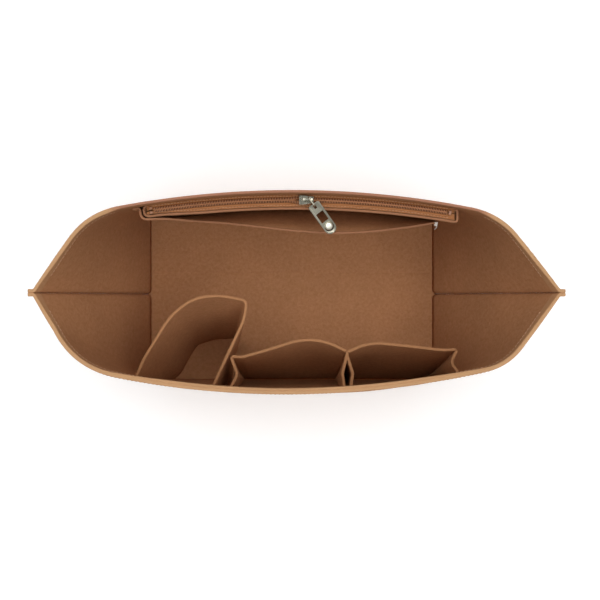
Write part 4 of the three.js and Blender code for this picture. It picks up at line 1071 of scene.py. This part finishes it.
BOTTLE_COUNTS = (20, 12, 20, 16, 14, 18, 16, 16, 12, 10, 12, 12, 30)
pocket("bottle_loop", bottle_line, BOTTLE_RIM, BOTTLE_COUNTS, 1, "bottle_pocket")
for key in FACES:
    pocket(f"bellows_{key}_face", lambda share, z: face_line(key, share), BELLOWS_RIM,
           (28, 30, 24, 30, 28), 1, f"pocket_{key}_face")
    for hand, word in ((1, "left"), (-1, "right")):
        pocket(f"bellows_{key}_gusset_{word}",
               lambda share, z: gusset_line(key, hand, share, z), BELLOWS_RIM, (18, 16, 18),
               hand, f"pocket_{key}_gusset_{word}")
down = np.linspace(1, 0, 36)
# The rims of the zip and slip pockets are painted darker and redder: painted shade.
pocket("zip_pocket_felt", zip_panel_line, ZIP_PANEL_TOP,
       (4, 8, 6, 8, *[8, 6] * PANEL_STATIONS, 8, 8, 6, 8, 4), -1, "zip_pocket_panel",
       PANEL_BOTTOM, 1 - down ** 1.7, pinch=PANEL_PINCH, paleness=0.0)
pocket("slip_pocket_felt", slip_line, SLIP_RIM,
       (4, 6, 4, 12, *[5, 3] * SLIP_STATIONS, 5, 6, 6), -1, "slip_pocket_panel",
       FLOOR_TOP + SLIP_FOOT, 1 - down ** 1.4, SLIP_FELT, slip_lift, paleness=0.0)

# %% Tapes and coils
for hand, word in ((1, "back"), (-1, "front")):
    dress(tape_piece(f"tape_{word}", hand), TAPE_MATERIAL, "insert", "zip_tape",
          f"zip_tape_{word}")
    dress(coil_piece(f"coil_{word}", hand), COIL_MATERIAL, "insert", "zip_coil",
          f"zip_coil_{word}")

# %% [markdown]
# ## Stitching
#
# The hem is sewn down 2 mm above its lower edge, right through to the outside. A run shows
# on both faces of each end seam. Each tape is sewn down beside its felt, the back one
# through the wall too, and one run closes the slip pocket's right side.

# %% Stitches of the tub
STITCH_PITCH, STITCH_LENGTH, SEAM_STITCH_IN = 3.4, 2.5, 1.6


def wall_run(tub, up, depth, keep, facing_in):
    """A run along a wall at a height up the felt, over the stations that keep picks."""
    share = np.full((len(tub["bottom"]), 1), up / WALL_HEIGHT)
    line = settle(wall_points(tub, share, np.reshape(depth, (-1, 1))))[:, 0][keep]
    normals = tub["inward"][keep] * np.array([1, tub["side"], 1]) * (1 if facing_in else -1)
    return stitch_run(line, normals, STITCH_PITCH, STITCH_LENGTH)


hem_runs, seam_runs = [], []
sewn_at = WALL_HEIGHT - HEM_DEPTH + HEM_STITCH_UP
for tub, hem, _ in WALL_HEMS:
    folded = from_seam(tub["summit"][:, 1]) * hem > 0.5
    sides = [tub["summit"][:, 0] < 0, tub["summit"][:, 0] >= 0] if tub is BACK else [True]
    for half in sides:
        hem_runs.append(wall_run(tub, sewn_at, WALL_FELT + HEM_FOLD * 0.55, folded & half, True))
        hem_runs.append(wall_run(tub, sewn_at, 0.0, folded & half, False))
tip = np.linspace(0.04, 0.95, 60)
for end in (0, -1):
    for tub in (FRONT, BACK):
        low, high = tub["bottom"][end], tub["summit"][end]
        line = (low + (high - low) * tip[:, None]) * [1, tub["side"], 1]
        line[:, 0] += SEAM_STITCH_IN * (1 if end == 0 else -1)
        seam_runs.append(stitch_run(line, np.tile([0.0, tub["side"], 0], (len(tip), 1)),
                                    STITCH_PITCH, STITCH_LENGTH))
dress(thread_piece("hem_stitches", hem_runs), THREAD_MATERIAL, "insert", "wall_felt")
dress(thread_piece("seam_stitches", seam_runs), THREAD_MATERIAL, "insert", "wall_felt")

# %% Stitches of the zip
ZIP_STITCH_PITCH, ZIP_STITCH_LENGTH, ZIP_THREAD, FROM_FELT = 2.6, 2.0, 0.18, 1.3
zip_x = np.linspace(ZIP_ENDS[0] + 1, ZIP_ENDS[1] - 1, 200)
zip_runs = []
for hand in (1, -1):
    felt_y = on_back(zip_x, ZIP_HEIGHT) if hand > 0 else (
        panel_front(zip_x, ZIP_HEIGHT) + PANEL_RIM_FELT)
    line = np.column_stack([zip_x, felt_y - hand * FROM_FELT,
                            np.full_like(zip_x, ZIP_HEIGHT + TAPE_THICKNESS / 2 - 0.25)])
    zip_runs.append(stitch_run(line, np.tile([0.0, 0, 1], (len(zip_x), 1)), ZIP_STITCH_PITCH,
                               ZIP_STITCH_LENGTH, ZIP_THREAD))
outside = wall_points(BACK, np.full((len(BACK["bottom"]), 1), (ZIP_HEIGHT - 4) / WALL_HEIGHT),
                      np.zeros((len(BACK["bottom"]), 1)))[:, 0]
along_zip = (outside[:, 0] > ZIP_ENDS[0]) & (outside[:, 0] < ZIP_ENDS[1])
outward = -BACK["inward"][along_zip]
zip_runs.append(stitch_run(outside[along_zip], outward, ZIP_STITCH_PITCH, ZIP_STITCH_LENGTH))
dress(thread_piece("zip_stitches", zip_runs), THREAD_MATERIAL, "insert", "zip_tape")

# %% Stitches of the slip pocket
POCKET_STITCH_PITCH, POCKET_STITCH_LENGTH = 3.0, 2.2
seam_x = SLIP_RIGHT + POCKET_FLANGE / 2
heights = np.linspace(FLOOR_TOP + SLIP_FOOT + 3, SLIP_RIM - 2, 60)
right_seam = np.column_stack([
    np.full_like(heights, seam_x), [slip_front(seam_x, z) - 0.05 for z in heights], heights])
run = stitch_run(right_seam, np.tile([0.0, -1, 0], (len(heights), 1)), POCKET_STITCH_PITCH,
                 POCKET_STITCH_LENGTH)
dress(thread_piece("pocket_stitches", [run]), THREAD_MATERIAL, "insert", "pocket_felt")

# %% [markdown]
# The slip pocket's right seam ends in a bar tack of undyed thread: a few tight turns over
# the rim, with one loose tail.

# %% Bar tack
TACK_X, TACK_TURNS, TACK_HALF, TACK_DEEP, TACK_DOWN = SLIP_RIGHT + 6.0, 6, 1.2, 2.6, 3.5
TACK_THREAD, TACK_SIDES = 0.34, 7
t = np.linspace(0, 1, 90)
wound = 2 * np.pi * TACK_TURNS * t
tack_x = TACK_X + TACK_HALF * np.cos(wound) * (1 - 0.1 * t)
tack_y = slip_front(TACK_X, SLIP_RIM - 2) - 0.6
tack = np.column_stack([tack_x, tack_y + 1.6 - TACK_DEEP * t - 0.3 * np.abs(np.sin(wound)),
                        slip_lift(TACK_X, SLIP_RIM) + 0.6 - TACK_DOWN * t])
tail = tack[-1] + np.column_stack([-1.6 * t ** 1.5, -2.6 * np.sin(1.6 * t), -4.5 * t])
bar_tack = mesh_from_rings(
    "bar_tack", tube(np.concatenate([tack, tail[1:]]), TACK_THREAD, TACK_SIDES))
dress(bar_tack, PALE_THREAD_MATERIAL, "insert", "pocket_felt")

# %% [markdown]
# ## Slider and puller
#
# The castings already have the right shape in the frame. A copy of each gets its corners
# eased by a fine bevel, because a real casting has no sharp edge and the eye looks for
# the thin highlight there. The round ones, link and stud, are worked out anew.

# %% Castings with eased edges
def eased_copy(name, node, width, body, material=NICKEL_MATERIAL):
    """A node's shape with its flat faces joined again and its corners bevelled by width."""
    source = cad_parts[node]
    shape = bmesh.new()
    shape.from_mesh(source.data)
    bmesh.ops.remove_doubles(shape, verts=shape.verts, dist=2e-6)
    bmesh.ops.dissolve_limit(shape, angle_limit=np.radians(0.5), verts=shape.verts,
                             edges=shape.edges)
    mesh = bpy.data.meshes.new(name)
    shape.to_mesh(mesh)
    shape.free()
    mesh.polygons.foreach_set("use_smooth", np.ones(len(mesh.polygons), bool))
    mesh.set_sharp_from_angle(angle=np.radians(40))
    piece = linked(name, mesh)
    bevel = piece.modifiers.new("eased", "BEVEL")
    bevel.width, bevel.segments, bevel.limit_method = width * MM, 2, "ANGLE"
    bevel.angle_limit = np.radians(35)
    bevel.harden_normals = True
    return dress(piece, material, body, "metal", node)


eased_copy("slider", "slider_body", 0.12, "slider")
eased_copy("puller", "pull_plate", 0.14, "puller")
for stop in ("top_stop_back", "top_stop_front", "bottom_stop"):
    eased_copy(f"{stop}_metal", stop, 0.12, "insert", LACQUER_MATERIAL)

# %% Link
LINK_RADIUS, LINK_LENGTH, LINK_WIRE, LINK_POINTS = 2.3, 5.0, 1.0, 24
PIVOT_AHEAD, PIVOT_HEIGHT = 2.7, 176.95
PULL_HEADING, LINK_DROOP, PULL_DROOP = np.radians((-53.0, 6.0, 22.0))
slider_angle = np.arcsin((SLIDER_X - ZIP_CENTRE[0]) / ZIP_RADIUS)
ahead = np.array([np.cos(slider_angle), -np.sin(slider_angle), 0]) * PIVOT_AHEAD
pivot = zip_place(SLIDER_X, 0.0, PIVOT_HEIGHT) + ahead


def swung(points, droop, start):
    """Turns points made along +X: first down by droop, then to the puller's heading."""
    c, s = np.cos(droop), np.sin(droop)
    x, y, z = points[..., 0] * c + points[..., 2] * s, points[..., 1], (
        points[..., 2] * c - points[..., 0] * s)
    c, s = np.cos(PULL_HEADING), np.sin(PULL_HEADING)
    return np.stack([x * c - y * s, x * s + y * c, z], -1) + start


half_turn = np.linspace(np.pi / 2, 3 * np.pi / 2, LINK_POINTS)
bends = np.concatenate([half_turn, half_turn + np.pi])
out = np.column_stack([np.cos(bends), 0 * bends, np.sin(bends)])
stadium = LINK_RADIUS * out
stadium[:, 0] += np.repeat([0, LINK_LENGTH], LINK_POINTS)
circle = np.linspace(0, 2 * np.pi, 16, endpoint=False)
wire = stadium[:, None] + LINK_WIRE / 2 * (
    np.cos(circle)[None, :, None] * out[:, None] + np.sin(circle)[None, :, None] * [0, 1, 0])
link = mesh_from_rings("link", swung(wire, LINK_DROOP, pivot), looped=True)
dress(link, NICKEL_MATERIAL, "link", "metal", "pull_link")

# %% Stud and the disc of painted shadow under it
STUD_DIAMETER, STUD_HEIGHT, STUD_COLLAR, SHANK, STUD_FLATNESS = 7.0, 2.0, 0.5, 3.0, 0.6
PULL_LENGTH, PULL_WIDTH, PULL_THICK, PULL_RELIEF, EYE_RIM = 30.0, 10.0, 1.2, 0.35, 1.2
SHADOW_SHIFT, SHADOW_WIDER, SHADOW_RISE = 0.7, 0.3, 0.12
spin = np.linspace(0, 2 * np.pi, 64, endpoint=False)


def spun(profile, x):
    """A profile of (radius, height) turned about the upright line at x."""
    return np.stack([x + profile[:, :1] * np.cos(spin), profile[:, :1] * np.sin(spin),
                     np.broadcast_to(profile[:, 1:], (len(profile), len(spin)))], -1)


stud_at = -EYE_RIM / 2 + PULL_LENGTH - PULL_WIDTH / 2 - 2.0
plate_start = swung(np.array([LINK_LENGTH, 0.0, 0.0]), LINK_DROOP, pivot)
low = -PULL_THICK / 2 - SEAT_GAP
web = PULL_THICK / 2 - PULL_RELIEF + SEAT_GAP
dome = STUD_DIAMETER / 2
rise = np.linspace(0, np.pi / 2, 16)[:-1]
profile = np.array([
    (0.01, low - 0.5), (dome - 1.2, low - 0.5), (dome - 0.95, low - 0.42), (dome - 0.6, low - 0.1),
    (dome - 0.6, low), (SHANK / 2, low), (SHANK / 2, web), (dome - 0.12, web),
    (dome, web + 0.12), (dome, web + STUD_COLLAR - 0.1),
    *zip((dome - 0.12) * np.cos(rise) ** STUD_FLATNESS,
         web + STUD_COLLAR + (STUD_HEIGHT - STUD_COLLAR) * np.sin(rise)),
    (0.01, web + STUD_HEIGHT)])
stud = mesh_from_rings("stud", swung(spun(profile, stud_at), PULL_DROOP, plate_start))
stud.data.set_sharp_from_angle(angle=np.radians(40))
dress(stud, STUD_MATERIAL, "puller", "metal", "pull_stud")
# A thin dark disc under the stud, shifted to one side, paints the shadow that shows as a dark
# crescent.
reach = dome + SHADOW_WIDER
disc = np.array([(0.01, web), (reach, web), (reach - 0.05, web + SHADOW_RISE),
                 (0.01, web + SHADOW_RISE)])
shadow_disc = spun(disc, stud_at + SHADOW_SHIFT)
shadow_disc = mesh_from_rings("painted_stud_shadow_disc", swung(shadow_disc, PULL_DROOP, plate_start))
dress(shadow_disc, STUD_SHADOW_MATERIAL, "puller", "metal")

# %% [markdown]
# ## Floor, light and camera
#
# The photograph is taken from straight above, about a metre up, against plain white. One
# lamp would throw a hard edge into the tub, so the sky does most of the work: a low level
# from all round, a bright ring high up that leans to the right, and a dark hole overhead,
# where a camera would stand. A weak soft lamp is added at the upper left. The floor keeps
# the object's shadow, and a little glow of its own brings it to white.

# %% Floor
bpy.ops.mesh.primitive_plane_add(size=6.0, location=(0, 0, -0.0002))
floor = bpy.context.object
floor.name = "floor"
floor_material, tree, shader = new_material("white_paper", Roughness=0.9,
                                            Base_Color=(0.86, 0.86, 0.86, 1))
rays = add(tree, "LightPath").outputs
seen = add(tree, "Math", {0: rays["Is Camera Ray"], 1: rays["Is Glossy Ray"]},
           operation="MAXIMUM")
seen = add(tree, "Math", {0: seen, 1: rays["Is Transmission Ray"]}, operation="MAXIMUM")
faint = add(tree, "Math", {0: seen, 1: 0.2}, operation="MULTIPLY")
glow = add(tree, "Emission", {"Strength": faint})
both = add(tree, "AddShader", {0: shader, 1: glow})
feed(tree, tree.nodes["Material Output"], {"Surface": both})
floor.data.materials.append(floor_material)

# %% Sky
world = bpy.data.worlds.new("white_room")
bpy.context.scene.world = world
world.use_nodes = True
tree = world.node_tree
background = tree.nodes["Background"]
# each: easing, sine of the height where it starts and ends, strength before and after
SKY = (("LINEAR", 0.0, 1.0, 0.43, 0.43), ("SMOOTHSTEP", 0.744, 0.884, 0.0, 2.4),
       ("SMOOTHSTEP", 0.984, 0.992, 1.0, 0.05))
BRIGHT_SIDE, LEAN_FROM, LEAN_TO = (0.906, 0.422, 0.0), 0.63, 1.37
way = add(tree, "TexCoord").outputs["Generated"]
up = add(tree, "SeparateXYZ", {0: way}).outputs["Z"]
walls, ring, hole = [add(tree, "MapRange", {
    "Value": up, "From Min": low, "From Max": high, "To Min": start, "To Max": end},
    interpolation_type=kind) for kind, low, high, start, end in SKY]
toward = add(tree, "VectorMath", {0: way, 1: BRIGHT_SIDE},
             operation="DOT_PRODUCT").outputs["Value"]
lean = add(tree, "MapRange", {
    "Value": toward, "From Min": -0.5, "From Max": 0.5, "To Min": LEAN_FROM, "To Max": LEAN_TO})
ring = add(tree, "Math", {0: ring, 1: lean}, operation="MULTIPLY")
glow = add(tree, "Math", {0: walls, 1: ring}, operation="ADD")
sky = add(tree, "Math", {0: glow, 1: hole}, operation="MULTIPLY")
feed(tree, background, {"Color": (1, 1, 1, 1), "Strength": sky})
print("sky", [round(end, 2) for *_, end in SKY])

# %% Lamp and camera
light = bpy.data.lights.new("side_softbox", "AREA")
light.shape, light.size, light.energy = "SQUARE", 1.0, 1.5
softbox = linked("side_softbox", light)
softbox.location = (-0.9, 1.0, 2.0)
softbox.rotation_euler = (-softbox.location).to_track_quat("-Z", "Y").to_euler()

optics = bpy.data.cameras.new("camera")
optics.sensor_width, optics.lens = 36.0, 60.0
camera = linked("camera", optics)
camera.location = (0.002, -0.0059, 0.980)
bpy.context.scene.camera = camera
bpy.context.scene.view_settings.view_transform = "Standard"
print("camera", round(camera.location.z, 3), "m up")

# %% [markdown]
# ## Flat cuts of the cloth
#
# Each felt piece was cut flat. A cut is the width and length of the rectangle that it
# comes out of, with its own area. A wall is measured on the middle of its felt, along and
# up, the front one with its hem's turning, and a pocket on the face that its plan lines
# draw. The base is its rectangle, less the rounded corners.

# %% Flat cuts
for name, tub, turning in (("front_felt", FRONT, HEM_DEPTH), ("back_felt", BACK, 0.0)):
    share = np.tile(np.linspace(0, 1 + turning / WALL_HEIGHT, 20), (len(tub["bottom"]), 1))
    note_cut(name, wall_points(tub, share, np.full(share.shape, WALL_FELT / 2)).transpose(1, 0, 2))
corners = (4 - np.pi) * BASE_CORNER ** 2
base_cut = (BASE_LENGTH + 2 * FOOT_LIP, 2 * (BASE_HALF_DEPTH + FOOT_LIP))
CUTS["base_felt"] = np.array([*base_cut, 1 - corners / np.prod(base_cut)])
for word, felt_face in (("back", on_back), ("front", panel_front)):
    width = abs(zip_place(0.0, 0, 0)[1] - felt_face(0.0, ZIP_HEIGHT)) + TAPE_LEG
    CUTS[f"tape_{word}"] = np.array([ZIP_ENDS[1] - ZIP_ENDS[0] + 2 * TAPE_RUN_ON, width, 1.0])

# %% Sheets
for name, (width, length, share) in CUTS.items():
    print(f"{name}: {width:.0f} x {length:.0f} mm, {share:.0%} of that rectangle")
